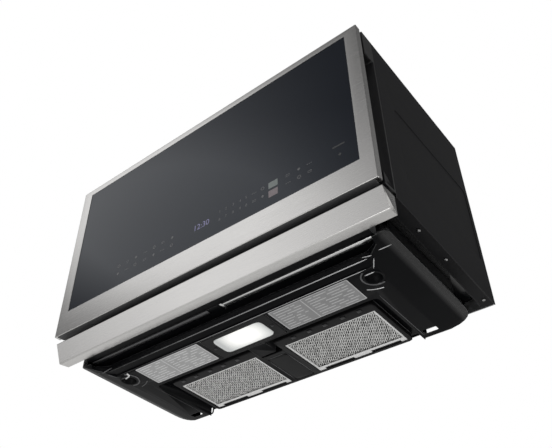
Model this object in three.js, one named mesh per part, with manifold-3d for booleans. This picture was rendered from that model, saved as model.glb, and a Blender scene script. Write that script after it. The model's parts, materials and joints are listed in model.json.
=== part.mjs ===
// Over-the-range microwave oven with a slide-out vent, modelled the way it comes apart on a bench.
// Millimetres, +Z up, front facing -Y. The origin is the middle of the rear face, which meets the wall.

import * as THREE from 'three';
import { mergeVertices } from 'three/addons/utils/BufferGeometryUtils.js';
import Module from 'manifold-3d';

const wasm = await Module();
wasm.setup();

// ---- Driving dimensions ----

const WIDTH = 759; // across the door and the cabinet, for a 30 inch opening
const DEPTH = 410; // from the door's face to the wall
const TOP = 205; // top of the door and of the cabinet, above the origin
const DOOR_HEIGHT = 386;
const SHEET = 1.5; // folded steel
const WALL = 3; // moulded plastic
const GAP = 0.4; // between pieces that seat on each other

const HALF = WIDTH / 2;
const FRONT = -DEPTH;
const INSIDE = HALF - SHEET - GAP; // what stands between the side panels

const DOOR = {
  bottom: TOP - DOOR_HEIGHT,
  rim: 13, // depth of the stainless frame
  back: FRONT + 19,
  glassSide: 27, // frame beside the glass
  glassTop: 15,
  glassBottom: 52,
  coreInset: 8.5, // the plastic core stands in from the frame's edge
};
const WINDOW = { left: -330, right: 190, bottom: -62, top: 112 };
const HINGE = { x: -HALF + 4.5, y: FRONT + 18, pin: 2, lug: 4.5, relief: 5 };
const LATCH = { x: 236, hook: 50, reach: 44.5 };
const BOARD_POCKET = { left: -236, right: 286, bottom: -118, top: -66 }; // for the touch board

const BEZEL = { front: FRONT + 20.5, back: FRONT + 53 };
const POCKET = { depth: 23, top: 140, bottom: -174, back: FRONT + 47, slant: 20 };

const CABINET = { front: BEZEL.back + GAP, frontBottom: -187, backBottom: -205, flange: 24.5 };
const FLOOR = -180; // underside of the chassis floor
const SIDE_PRESSING = { front: FRONT + 105, back: -14, bottom: -115, top: 66, corner: 14 };
const WALL_HOOK = { x: 276, half: 14, bottom: -200, top: -192 }; // slots for the wall plate's tabs
const TOP_BOLT = { x: 300, y: -240, radius: 6 };
const CORD_HOLE = { x: 330, y: -40, radius: 14 };
const GRILLE = { half: 252, front: -352, back: -300, slots: 18 };
const BEZEL_VENT = { count: 11, first: -252, pitch: 48, width: 36 };

const CAVITY = { left: -347, right: 207, bottom: -137, top: 128, back: -42 };
const TURNTABLE = { x: -70, y: -215, radius: 158, track: 92, roller: 8 };
const FEED = { front: -205, back: -125, bottom: 20, top: 70 }; // microwaves enter through it
const CAVITY_LAMP = { y: -300, z: -20, hole: 12 };
const MAGNETRON = { y: -90, z: 45, width: 78, front: -132, back: -48, top: 90 };

// The bar's face leans back from its top edge to its lower edge.
const BAR = {
  front: FRONT + 8, lower: FRONT + 23.5, back: FRONT + 45.5,
  top: -191.5, bottom: -230.3, backTop: -190.5, backBottom: -228,
};
const VENT_PLATE = { half: 328, back: FRONT + 120 };
const SLIDE = { x: 312, top: -208, back: -180 };

// The tray under the cabinet. Its heights are measured up from its own underside, which slopes down
// towards the wall.
const TRAY = {
  half: 353,
  front: FRONT + 83.5,
  wingFront: FRONT + 56,
  wingCrease: FRONT + 70, // the wings' underside slants up in front of it
  crease: 298, // and up to the sides beyond this distance from the middle
  rise: 18.5, // height of the slants' upper edges
  back: FRONT + 351,
  roll: 16, // radius of the rolled edge
  neck: 16, // how far the wall above the rolled edge stands in
  level: -251,
  slope: 0.0437,
  slopeStart: FRONT + 50,
};
const DUCT_BACK = -6; // the tray's air duct reaches back under the airway behind the cavity
const NOTCH = [[300, TRAY.front], [310, FRONT + 79], [326, FRONT + 69]]; // front edge out to the wings
const LEDGE = { frontHalf: 309, backHalf: 296, back: FRONT + 102.5, rise: 3 }; // step along the front edge
const CUP = { x: 285, y: FRONT + 127, rim: 18, hollow: 14.5 };
const HOOK = { inner: 262.5, outer: 300, low: 8, high: 30, slot: [269, 296, FRONT + 314, FRONT + 328] };
const BAY = { half: 259.5, front: FRONT + 179, depth: 17 };
const CARRIER = { half: 238.3, front: FRONT + 197.5, back: FRONT + 343, under: 6.3 };
const TONGUE = { half: 20, back: FRONT + 215 };
const FILTER = { inner: 34, outer: 230.6, front: FRONT + 218, back: FRONT + 336, under: 8.5, thick: 6 };
const LAMP = {
  half: 76, front: FRONT + 107, back: FRONT + 173,
  lensHalf: 56, lensFront: FRONT + 117, lensBack: FRONT + 165,
};

const BLOWER = { y: -104, z: 166, half: 150, motor: 26 };
const BAY_FLOOR = FLOOR + SHEET + GAP; // what stands on the chassis floor

// ---- Materials ----

const paint = (color, roughness, metalness = 0) =>
  new THREE.MeshStandardMaterial({ color, roughness, metalness });
const STAINLESS = paint(0xc9c6c2, 0.35, 1);
const BLACK_STEEL = paint(0x2a2b2d, 0.5, 0.3);
const BLACK_PLASTIC = paint(0x1d1e20, 0.55);
const BLACK_GLASS = paint(0x121316, 0.08);
const ZINC = paint(0x9ea1a3, 0.45, 0.9);
const ALUMINIUM = paint(0xc4c5c6, 0.4, 0.9);
const ENAMEL = paint(0xb9b4a8, 0.4);
const CLEAR = paint(0xdfe6e8, 0.1);
const MICA = paint(0x8d7f63, 0.7);
const COPPER = paint(0xa8623a, 0.45, 0.8);
const BOARD = paint(0x2d5b3a, 0.6);
const CARBON = paint(0x151515, 0.95);
const WHITE_PLASTIC = paint(0xd8d8d4, 0.5);

// ---- Solids ----

/** A manifold solid of a closed three.js geometry. */
function toSolid(geometry) {
  const bare = new THREE.BufferGeometry();
  bare.setAttribute('position', geometry.getAttribute('position'));
  bare.setIndex(geometry.index);
  const merged = mergeVertices(bare, 1e-3);
  const corners = merged.index.array;
  const triangles = [];
  for (let i = 0; i < corners.length; i += 3) {
    const [a, b, c] = corners.slice(i, i + 3);
    if (a !== b && b !== c && c !== a) triangles.push(a, b, c);
  }
  return new wasm.Manifold(new wasm.Mesh({
    numProp: 3,
    vertProperties: new Float32Array(merged.getAttribute('position').array),
    triVerts: new Uint32Array(triangles),
  }));
}

/** The three.js geometry of a manifold solid. */
function toGeometry(solid) {
  const { vertProperties, triVerts } = solid.getMesh();
  const geometry = new THREE.BufferGeometry();
  geometry.setAttribute('position', new THREE.BufferAttribute(vertProperties, 3));
  geometry.setIndex(new THREE.BufferAttribute(triVerts, 1));
  geometry.computeVertexNormals();
  return geometry;
}

const join = (...solids) => solids.reduce((whole, solid) => whole.add(solid));
const cut = (solid, ...tools) => tools.reduce((left, tool) => left.subtract(tool), solid);
const moved = (solid, matrix) => toSolid(toGeometry(solid).applyMatrix4(matrix));

/** A box from its limits along X, Y and Z. */
function box(x0, x1, y0, y1, z0, z1) {
  const geometry = new THREE.BoxGeometry(x1 - x0, y1 - y0, z1 - z0);
  return toSolid(geometry.translate((x0 + x1) / 2, (y0 + y1) / 2, (z0 + z1) / 2));
}

/** The same box on the left and on the right of the middle plane. */
const boxPair = (x0, x1, ...rest) => join(box(x0, x1, ...rest), box(-x1, -x0, ...rest));

/** A round bar along one axis, from a to b, centred on the other two coordinates. */
function rod(axis, [u, v], a, b, radius, sides = 24, endRadius = radius) {
  const geometry = new THREE.CylinderGeometry(endRadius, radius, b - a, sides);
  geometry.translate(0, (a + b) / 2, 0);
  if (axis === 'x') geometry.rotateZ(-Math.PI / 2).translate(0, u, v);
  if (axis === 'y') geometry.translate(u, 0, v);
  if (axis === 'z') geometry.rotateX(Math.PI / 2).translate(u, v, 0);
  return toSolid(geometry);
}

/** A closed outline; a corner is [u, v] or, where it is rounded, [u, v, radius]. */
function outline(corners) {
  const shape = new THREE.Shape();
  corners.forEach(([u, v, radius = 0], i) => {
    const corner = new THREE.Vector2(u, v);
    const towards = ([a, b]) => new THREE.Vector2(a, b).sub(corner).setLength(radius).add(corner);
    const entry = towards(corners.at(i - 1));
    const exit = towards(corners[(i + 1) % corners.length]);
    if (i === 0) shape.moveTo(entry.x, entry.y);
    else shape.lineTo(entry.x, entry.y);
    if (radius > 0) shape.quadraticCurveTo(u, v, exit.x, exit.y);
  });
  return shape;
}

const rectangle = (u0, u1, v0, v1, radius = 0) =>
  [[u0, v0, radius], [u1, v0, radius], [u1, v1, radius], [u0, v1, radius]];

const axes = (a, b, c) => new THREE.Matrix4().makeBasis(
  new THREE.Vector3(...a), new THREE.Vector3(...b), new THREE.Vector3(...c));
const ALONG_X = axes([0, 1, 0], [0, 0, 1], [1, 0, 0]);
const ALONG_Y = axes([1, 0, 0], [0, 0, 1], [0, -1, 0]);

/** Extrudes an outline by a length; bevel rounds the rim of both ends within that length. */
function extruded(corners, length, bevel = 0, steps = 4) {
  return new THREE.ExtrudeGeometry(outline(corners), {
    depth: length - 2 * bevel,
    bevelEnabled: bevel > 0,
    bevelThickness: bevel,
    bevelSize: bevel,
    bevelOffset: -bevel,
    bevelSegments: steps,
    curveSegments: steps,
  }).translate(0, 0, bevel);
}

/** A prism along X of an outline in (y, z). */
const prismX = (corners, x0, x1, ...style) =>
  toSolid(extruded(corners, x1 - x0, ...style).applyMatrix4(ALONG_X).translate(x0, 0, 0));

/** A prism along Y of an outline in (x, z). */
const prismY = (corners, y0, y1, ...style) =>
  toSolid(extruded(corners, y1 - y0, ...style).applyMatrix4(ALONG_Y).translate(0, y1, 0));

/** A prism along Z of an outline in (x, y). */
const prismZ = (corners, z0, z1, ...style) =>
  toSolid(extruded(corners, z1 - z0, ...style).translate(0, 0, z0));

/** A solid of revolution about the vertical through (x, y); the profile is [radius, z] pairs. */
function turned(profile, [x, y], sides) {
  const points = profile.map(([radius, z]) => new THREE.Vector2(radius, z));
  return toSolid(new THREE.LatheGeometry(points, sides).rotateX(Math.PI / 2).translate(x, y, 0));
}

/** Turns a solid about an axis through a point. */
function spun(solid, axis, angle, [x, y, z]) {
  const turn = new THREE.Matrix4().makeRotationAxis(new THREE.Vector3(...axis), angle);
  turn.premultiply(new THREE.Matrix4().makeTranslation(x, y, z));
  turn.multiply(new THREE.Matrix4().makeTranslation(-x, -y, -z));
  return moved(solid, turn);
}

/** Several copies of a solid, evenly round an axis through a point, joined. */
function ringOf(count, solid, axis, centre) {
  const copies = Array.from({ length: count }, (_, i) =>
    spun(solid, axis, (i * 2 * Math.PI) / count, centre));
  return join(...copies);
}

/** Lays a solid whose z is a height above the tray's underside on the tray's slope. */
const LIE_OF_TRAY = new THREE.Matrix4().set(
  1, 0, 0, 0,
  0, 1, 0, 0,
  0, -TRAY.slope, 1, TRAY.level + TRAY.slope * TRAY.slopeStart,
  0, 0, 0, 1);
const onTray = (solid) => moved(solid, LIE_OF_TRAY);

/** Underside of the cabinet's sides at a depth. */
const sideBottom = (y) =>
  CABINET.frontBottom + ((CABINET.backBottom - CABINET.frontBottom) * (y - CABINET.front)) / -CABINET.front;

const microwave = new THREE.Group();

function part(name, solid, material, group = microwave) {
  const mesh = new THREE.Mesh(toGeometry(solid), material);
  mesh.name = name;
  group.add(mesh);
}

// ---- Cabinet ----

/** One side: a sheet with a long shallow pressing, and a bottom flange that carries the tray's screws. */
function sidePanel(hand) {
  const across = (a, b) => [hand * a, hand * b].sort((m, n) => m - n);
  const back = -GAP;
  const profile = [
    [CABINET.front, TOP], [CABINET.front, CABINET.frontBottom], [back, CABINET.backBottom], [back, TOP],
  ];
  const { front, back: rear, bottom, top, corner } = SIDE_PRESSING;
  const pressing = (by) => rectangle(front - by, rear + by, bottom - by, top + by, corner + by);
  const sheet = prismX(profile, ...across(HALF - SHEET, HALF));
  const pad = prismX(pressing(SHEET), ...across(HALF - 2 * SHEET, HALF - SHEET / 2), 0, 3);
  const pressed = cut(join(sheet, pad), prismX(pressing(0), ...across(HALF - SHEET, HALF + 1), 0, 3));
  const flangeBack = back - 3;
  const flangeAt = (y, lift) => [y, sideBottom(y) + lift];
  const strip = (low, high) => [
    flangeAt(CABINET.front, low), flangeAt(flangeBack, low),
    flangeAt(flangeBack, high), flangeAt(CABINET.front, high),
  ];
  const inner = HALF - CABINET.flange;
  const flange = prismX(strip(0.5, 2), ...across(inner + 0.5, HALF - 0.5));
  const lip = prismX(strip(0.3, 6.6), ...across(inner, inner + SHEET));
  return join(pressed, flange, lip);
}

function rearPanel() {
  const plate = prismY(rectangle(-INSIDE, INSIDE, CABINET.backBottom + GAP, TOP - SHEET - GAP, 3), -2, 0);
  const ribs = [-110, -60, 60, 110].map((z) =>
    prismY(rectangle(-300, 300, z - 7, z + 7, 7), -5, -1.9, 1.4, 1));
  const { x, half, bottom, top } = WALL_HOOK;
  return cut(join(plate, ...ribs), boxPair(x - half, x + half, -3, 1, bottom, top));
}

function topPanel() {
  const plate = box(-INSIDE, INSIDE, CABINET.front, -2 - GAP, TOP - SHEET, TOP);
  const rim = (x0, x1, y0, y1, drop) => cut(
    box(x0 - SHEET, x1 + SHEET, y0 - SHEET, y1 + SHEET, TOP - drop, TOP),
    box(x0, x1, y0, y1, TOP - drop - 1, TOP + 1));
  const exhaust = [-BLOWER.half + 8, BLOWER.half - 8, BLOWER.y - 9, BLOWER.y + 35];
  const grille = [-GRILLE.half, GRILLE.half, GRILLE.front, GRILLE.back];
  const through = ({ x, y, radius }) => rod('z', [x, y], TOP - 9, TOP + 9, radius);
  return cut(
    join(plate, rim(...grille, 5)),
    box(...grille, TOP - 9, TOP + 1),
    box(...exhaust, TOP - 9, TOP + 1),
    through(TOP_BOLT), through({ ...TOP_BOLT, x: -TOP_BOLT.x }), through(CORD_HOLE));
}

/** A moulded front with the cavity's mouth, the latch slots and the finger pocket at its right edge. */
function frontBezel() {
  const { front, back } = BEZEL;
  const corner = HINGE.relief;
  const plan = [
    [-HALF + corner, front], [HALF, front, 1], [HALF, back], [-HALF, back], [-HALF, front + corner],
  ];
  const block = prismZ(plan, DOOR.bottom, TOP);
  const hollow = prismZ([
    [-HALF + WALL + corner, front + WALL], [HALF - WALL, front + WALL],
    [HALF - WALL, back + 1], [-HALF + WALL, back + 1], [-HALF + WALL, front + WALL + corner],
  ], DOOR.bottom + WALL, TOP - WALL);
  const mouth = [CAVITY.left, CAVITY.right, CAVITY.bottom, CAVITY.top];
  const grow = ([a, b, c, d], by) => rectangle(a - by, b + by, c - by, d + by, 6 + by);
  const collar = prismY(grow(mouth, WALL + GAP), front, back);
  const pocketWall = box(
    HALF - POCKET.depth - WALL, HALF, front, back, POCKET.bottom - WALL, POCKET.top + WALL);
  const pocket = prismX([
    [front - 1, POCKET.bottom + POCKET.slant], [POCKET.back, POCKET.bottom],
    [POCKET.back, POCKET.top + 1, 3], [front - 1, POCKET.top - 2],
  ], HALF - POCKET.depth, HALF + 1);
  const slot = (z) => box(LATCH.x - 5, LATCH.x + 5, front - 1, back + 1, z - 9, z + 14);
  const seatLevels = [TOP - 26, DOOR.bottom + 2];
  const seats = seatLevels.map((z) => box(-HALF + 1, -HALF + 27, front - 1, front + 2, z, z + 24));
  const seatBacks = [TOP - 29, DOOR.bottom].map((z) =>
    box(-HALF + 5, -HALF + 30, front + 2, front + 5, z, z + 29));
  const lugRelief = seatLevels.map((z) =>
    rod('z', [HINGE.x, HINGE.y], z, z + 24, HINGE.lug + 0.8, 20));
  const vents = Array.from({ length: BEZEL_VENT.count }, (_, i) => BEZEL_VENT.first + i * BEZEL_VENT.pitch)
    .map((x) => box(x, x + BEZEL_VENT.width, front + 8, back - 6, TOP - 9, TOP + 1));
  return cut(
    join(cut(block, hollow), collar, pocketWall, ...seatBacks),
    prismY(grow(mouth, GAP), front - 1, back + 1),
    pocket, slot(-LATCH.hook), slot(LATCH.hook), ...seats, ...lugRelief, ...vents);
}

function chassisFloor() {
  const plate = box(-INSIDE + 2, INSIDE - 2, CABINET.front + GAP, -3, FLOOR, FLOOR + SHEET);
  const airway = prismZ(rectangle(-320, 180, -37, -9, 8), FLOOR - 1, FLOOR + 3);
  return cut(plate, airway);
}

part('rear_panel', rearPanel(), ZINC);
part('left_side_panel', sidePanel(-1), BLACK_STEEL);
part('right_side_panel', sidePanel(1), BLACK_STEEL);
part('top_panel', topPanel(), BLACK_STEEL);
part('front_bezel', frontBezel(), BLACK_PLASTIC);
part('chassis_floor', chassisFloor(), BLACK_STEEL);

// ---- Cooking cavity ----

function cavityLiner() {
  const { left, right, bottom, top, back } = CAVITY;
  const mouth = BEZEL.front + 0.3;
  const shell = cut(
    prismY(rectangle(left, right, bottom, top, 6), mouth, back),
    prismY(rectangle(left + SHEET, right - SHEET, bottom + SHEET, top - SHEET, 5), mouth - 1, back - SHEET));
  const { x, y, track } = TURNTABLE;
  const hub = rod('z', [x, y], bottom - 1, bottom + SHEET + 1, 7);
  const guide = cut(
    rod('z', [x, y], bottom + 1, bottom + SHEET + 1, track + 24, 32),
    rod('z', [x, y], bottom, bottom + SHEET + 2, track + 20, 32));
  const feed = box(right - 3, right + 1, FEED.front, FEED.back, FEED.bottom, FEED.top);
  const vents = Array.from({ length: 8 }, (_, i) => -330 + i * 9)
    .map((front) => box(right - 3, right + 1, front, front + 4, 40, 90));
  const lampHole = rod('x', [CAVITY_LAMP.y, CAVITY_LAMP.z], right - 4, right + 2, CAVITY_LAMP.hole);
  return cut(join(shell, guide), hub, feed, lampHole, ...vents);
}

/** The duct from the magnetron's antenna to the feed opening in the cavity's right wall. */
function waveguide() {
  const x0 = CAVITY.right + GAP;
  const shell = box(x0, x0 + 24, -212, -60, 14, 76);
  const inside = box(x0 + SHEET, x0 + 24 - SHEET, -210, -62, 16, 74);
  const feed = box(x0 - 1, x0 + 3, FEED.front, FEED.back, FEED.bottom, FEED.top);
  return cut(shell, inside, feed, rod('x', [MAGNETRON.y, MAGNETRON.z], x0 + 10, x0 + 30, 12));
}

/** The mica sheet that keeps steam out of the duct. */
function waveguideCover() {
  const back = CAVITY.right - SHEET - GAP;
  return box(back - 1, back, FEED.front - 7, FEED.back + 7, FEED.bottom - 7, FEED.top + 7);
}

part('cavity_liner', cavityLiner(), ENAMEL);
part('waveguide_cover', waveguideCover(), MICA);
part('waveguide', waveguide(), ZINC);

/** A yoke round a finned anode, with its antenna in the duct and its choke box below. */
function magnetron() {
  const { y, z, width, front, back, top } = MAGNETRON;
  const x0 = CAVITY.right + 24 + 2 * GAP;
  const yoke = cut(
    box(x0, x0 + width, front, back, 0, top),
    box(x0 + 3, x0 + width - 3, front - 8, back + 8, 3, top - 3));
  const core = rod('x', [y, z], x0 + 1, x0 + width - 1, 20, 14);
  const fins = [18, 28, 38, 48, 58].map((x) =>
    box(x0 + x, x0 + x + 1.5, front + 2, back - 2, 2, top - 2));
  const antenna = rod('x', [y, z], x0 - 12, x0 + 2, 8, 12, 6);
  const filterBox = box(x0 + 10, x0 + 62, y - 26, y + 26, -32, 1);
  return join(yoke, core, ...fins, antenna, filterBox);
}

function transformer() {
  const core = cut(
    box(232, 332, -338, -268, BAY_FLOOR, BAY_FLOOR + 78),
    box(244, 258, -340, -260, BAY_FLOOR + 14, BAY_FLOOR + 64),
    box(306, 320, -340, -260, BAY_FLOOR + 14, BAY_FLOOR + 64));
  const coils = cut(
    box(246, 318, -352, -254, BAY_FLOOR + 16, BAY_FLOOR + 62),
    box(257, 307, -360, -250, BAY_FLOOR + 30, BAY_FLOOR + 48));
  return join(core, coils, box(222, 342, -338, -268, BAY_FLOOR, BAY_FLOOR + 2));
}

function capacitor() {
  const can = prismZ(rectangle(346, 366, -250, -196, 9), BAY_FLOOR, BAY_FLOOR + 92);
  const tabs = [-232, -214].map((y) => box(353, 359, y - 0.5, y + 0.5, BAY_FLOOR + 91, BAY_FLOOR + 101));
  return join(can, ...tabs);
}

function powerBoard() {
  const card = box(370, 371.6, -330, -150, -40, 100);
  const block = (y, z, w, h, t) => box(371 - t, 370.5, y, y + w, z, z + h);
  return join(
    card, block(-320, -20, 22, 30, 26), block(-280, 0, 40, 36, 22), block(-220, 40, 30, 40, 18),
    block(-320, 50, 50, 20, 10), block(-200, -30, 30, 20, 16));
}

const FAN = { x: 292, z: -110, radius: 44, back: -12 };

function fanShroud() {
  const { x, z, radius, back } = FAN;
  const frame = cut(
    box(x - 56, x + 56, back - 26, back - 4, BAY_FLOOR, z + 56),
    rod('y', [x, z], back - 30, back, radius + 4, 32));
  const arm = box(x - 50, x + 50, back - 8, back - 5, z - 4, z + 4);
  const arms = [1, 3].map((eighths) => spun(arm, [0, 1, 0], (eighths * Math.PI) / 4, [x, 0, z]));
  return join(frame, ...arms, rod('y', [x, z], back - 12, back - 4.5, 16));
}

function coolingFan() {
  const { x, z, radius, back } = FAN;
  const hub = rod('y', [x, z], back - 26, back - 13, 13);
  const flat = box(x + 8, x + radius, back - 21, back - 19.5, z - 14, z + 14);
  const blade = spun(flat, [1, 0, 0], 0.5, [0, back - 20, z]);
  return join(hub, ringOf(5, blade, [0, 1, 0], [x, 0, z]));
}

part('magnetron', magnetron(), ALUMINIUM);
part('transformer', transformer(), COPPER);
part('capacitor', capacitor(), ALUMINIUM);
part('power_board', powerBoard(), BOARD);
part('fan_shroud', fanShroud(), WHITE_PLASTIC);
part('cooling_fan', coolingFan(), BLACK_PLASTIC);

function cavityLamp() {
  const x0 = CAVITY.right + GAP;
  const bulb = turned([[0, 0], [9, 3], [11, 12], [7, 26], [7, 44], [0, 44]], [0, 0], 16);
  const turn = new THREE.Matrix4().makeRotationY(Math.PI / 2);
  return moved(bulb, turn.setPosition(x0, CAVITY_LAMP.y, CAVITY_LAMP.z));
}

function latchKeeper() {
  const { x, hook } = LATCH;
  const block = box(x - 16, x + 16, CABINET.front + GAP, CABINET.front + 40, -hook - 22, hook + 28);
  const hollow = box(x - 13, x + 13, CABINET.front - 1, CABINET.front + 37, -hook - 19, hook + 25);
  const keeps = [-hook, hook].map((z) =>
    box(x - 14, x + 14, CABINET.front + 1, CABINET.front + 3, z - 20, z - 9));
  return join(cut(block, hollow), ...keeps);
}

part('cavity_lamp', cavityLamp(), CLEAR);
part('latch_keeper', latchKeeper(), WHITE_PLASTIC);

// ---- Turntable ----

const RING_Z = CAVITY.bottom + SHEET + TURNTABLE.roller + 0.3; // height of the rollers' axles
const TRAY_Z = RING_Z + TURNTABLE.roller + 0.3; // underside of the glass

function glassTray() {
  const { x, y, radius } = TURNTABLE;
  const profile = [
    [0, 0], [radius - 26, 0], [radius - 14, 3], [radius, 14], [radius, 18],
    [radius - 4, 18], [radius - 16, 8], [radius - 27, 5], [0, 5],
  ];
  return turned(profile.map(([r, rise]) => [r, TRAY_Z + rise]), [x, y], 40);
}

/** The three-lobed hub that stands on the motor's shaft and drives the glass. */
function driveCoupler() {
  const { x, y } = TURNTABLE;
  const top = TRAY_Z - GAP;
  const lobe = prismZ([[x - 5, y, 0], [x + 5, y, 0], [x + 4, y + 22, 4], [x - 4, y + 22, 4]], top - 6, top);
  const hub = rod('z', [x, y], CAVITY.bottom + SHEET + 1, top, 9);
  const bore = rod('z', [x, y], CAVITY.bottom, top - 4, 3.4, 16);
  return cut(join(hub, ringOf(3, lobe, [0, 0, 1], [x, y, 0])), bore);
}

function turntableMotor() {
  const { x, y } = TURNTABLE;
  const z1 = CAVITY.bottom - GAP;
  const can = rod('z', [x, y], z1 - 16, z1, 24, 24);
  const ears = box(x - 33, x + 33, y - 6, y + 6, z1 - 1.5, z1);
  return join(can, ears, rod('z', [x, y], z1 - 1, z1 + 11, 3, 16));
}

/** The ring that keeps the three rollers apart under the glass. */
function rollerRing() {
  const { x, y, track } = TURNTABLE;
  const ring = cut(
    rod('z', [x, y], RING_Z - 2.5, RING_Z + 2.5, track - 9, 30),
    rod('z', [x, y], RING_Z - 4, RING_Z + 4, track - 15, 30));
  const spoke = rod('x', [y, RING_Z], x + track - 12, x + track + 7, 1.6, 10);
  return join(ring, ringOf(3, spoke, [0, 0, 1], [x, y, 0]));
}

function roller(i) {
  const { x, y, track, roller: radius } = TURNTABLE;
  const wheel = cut(
    rod('x', [y, RING_Z], x + track - 5, x + track + 5, radius, 20),
    rod('x', [y, RING_Z], x + track - 6, x + track + 6, 2.1, 12));
  return spun(wheel, [0, 0, 1], (i * 2 * Math.PI) / 3, [x, y, 0]);
}

part('glass_tray', glassTray(), CLEAR);
part('drive_coupler', driveCoupler(), WHITE_PLASTIC);
part('turntable_motor', turntableMotor(), ZINC);
part('roller_ring', rollerRing(), WHITE_PLASTIC);
[0, 1, 2].forEach((i) => part(`roller_${i + 1}`, roller(i), WHITE_PLASTIC));

// ---- Blower and filters at the top ----

/** The scroll's outline in (y, z): a spiral that opens into an upright outlet. */
function scroll(inset) {
  const { y, z } = BLOWER;
  const steps = 16;
  const start = (105 * Math.PI) / 180;
  const spiral = Array.from({ length: steps + 1 }, (_, i) => {
    const angle = start + ((2 * Math.PI - start) * i) / steps;
    const radius = 30 + (6 * i) / steps - inset;
    return [y + radius * Math.cos(angle), z + radius * Math.sin(angle)];
  });
  return [...spiral, [y + 36 - inset, TOP - 2], [y - 10 + inset, TOP - 2]];
}

function blowerHousing() {
  const { y, z, half } = BLOWER;
  const raise = (corners, top) => corners.map(([v, w]) => [v, w === TOP - 2 ? top : w]);
  const shell = prismX(scroll(0), -half, half);
  const inside = prismX(raise(scroll(SHEET), TOP + 2), -half + SHEET, half - SHEET);
  const inlets = rod('x', [y, z], -half - 1, half + 1, 22, 24);
  const cradle = box(-12, 12, y - 12, y + 12, z - 34, z - BLOWER.motor + 2);
  return join(cut(shell, inside, inlets), cut(cradle, rod('x', [y, z], -20, 20, BLOWER.motor + GAP, 28)));
}

/** A drum of forward-curved blades between an end plate and a rim. */
function blowerWheel(side) {
  const { y, z } = BLOWER;
  const at = (a, b) => [side * a, side * b].sort((m, n) => m - n);
  const disc = (a, b, ...style) => rod('x', [y, z], ...at(a, b), ...style);
  const plate = cut(disc(34, 36, 27, 18), disc(30, 40, 4.4, 12));
  const rim = cut(disc(137, 139, 27, 18), disc(136, 140, 21, 18));
  const flat = box(...at(35, 138), y + 21, y + 26.6, z - 0.6, z + 0.6);
  const blade = spun(flat, [1, 0, 0], 0.5, [0, y + 24, z]);
  return join(plate, rim, ringOf(12, blade, [1, 0, 0], [0, y, z]));
}

function blowerMotor() {
  const { y, z, motor } = BLOWER;
  return join(rod('x', [y, z], -24, 24, motor, 28), rod('x', [y, z], -44, 44, 4, 12));
}

function slottedPlate(x0, x1, y0, y1, z0, z1, count) {
  const pitch = (x1 - x0 - 12) / count;
  const slots = Array.from({ length: count }, (_, i) =>
    box(x0 + 8 + i * pitch, x0 + 4 + (i + 1) * pitch, y0 + 6, y1 - 6, z0 - 1, z1 + 1));
  return cut(box(x0, x1, y0, y1, z0, z1), ...slots);
}

/** The flap over the outlet, stiffened by the rod that it swings on. */
function damperFlap() {
  const [half, hinge] = [BLOWER.half - 9, BLOWER.y + 33];
  return join(
    box(-half, half, BLOWER.y - 8, hinge, TOP - 1.5, TOP - 0.5),
    rod('x', [hinge, TOP - 1], -half, half, 1, 10));
}

function topGrille() {
  const half = GRILLE.half - GAP;
  return slottedPlate(-half, half, GRILLE.front + GAP, GRILLE.back - GAP, TOP - 3, TOP - 0.5, GRILLE.slots);
}

part('blower_housing', blowerHousing(), ZINC);
part('blower_motor', blowerMotor(), ALUMINIUM);
part('left_blower_wheel', blowerWheel(-1), ZINC);
part('right_blower_wheel', blowerWheel(1), ZINC);
part('damper_flap', damperFlap(), ZINC);
part('top_grille', topGrille(), BLACK_PLASTIC);
part('charcoal_filter', slottedPlate(-230, 230, -350, -260, TOP - 26, TOP - 12, 12), CARBON);

// ---- Tray under the cabinet ----

/** The solid below a slant from (near, 0) to (far, TRAY.rise), as an outline; lift raises the slant. */
function underSlant(near, far, inset) {
  const pitch = TRAY.rise / Math.abs(far - near);
  const lift = inset * Math.hypot(1, pitch);
  const run = 20 * Math.sign(far - near);
  return [
    [near - run, lift - 20 * pitch], [far + run, lift + TRAY.rise + 20 * pitch],
    [far + run, -30], [near - run, -30],
  ];
}

/** A rolled slab whose underside slants up to its sides and to its wings' fronts, with an upright neck. */
function trayForm(inset) {
  const { half, front, wingFront, wingCrease, crease, back, roll, neck } = TRAY;
  const height = 2 * roll + 4;
  const side = half - inset;
  const rolled = prismZ(
    rectangle(-side, side, FRONT, back - inset, 26 - inset), inset, height - inset, roll - inset, 4);
  const plan = prismZ([
    [-side, wingFront + inset, 10 - inset], [side, wingFront + inset, 10 - inset], [side, back], [-side, back],
  ], 0, height);
  const right = NOTCH.map(([x, y]) => [x + inset, y + inset]);
  const left = right.map(([x, y]) => [-x, y]);
  const reach = right.at(-1)[0];
  const notch = prismZ([[-reach, FRONT], [reach, FRONT], ...right.toReversed(), ...left], -10, 60);
  const upright = prismZ(
    rectangle(-side + neck, side - neck, front + 8 + inset, back - neck - inset, 14), roll, 90 + inset);
  const duct = box(-side + 30, side - 30, back - 80, DUCT_BACK - inset, 64 + inset, 90 + inset);
  const slab = cut(
    rolled.intersect(plan), notch,
    prismX(underSlant(wingCrease, wingFront, inset), -400, 400),
    prismY(underSlant(crease, half, inset), FRONT, 0),
    prismY(underSlant(-crease, -half, inset), FRONT, 0));
  return join(slab, upright, duct);
}

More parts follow.
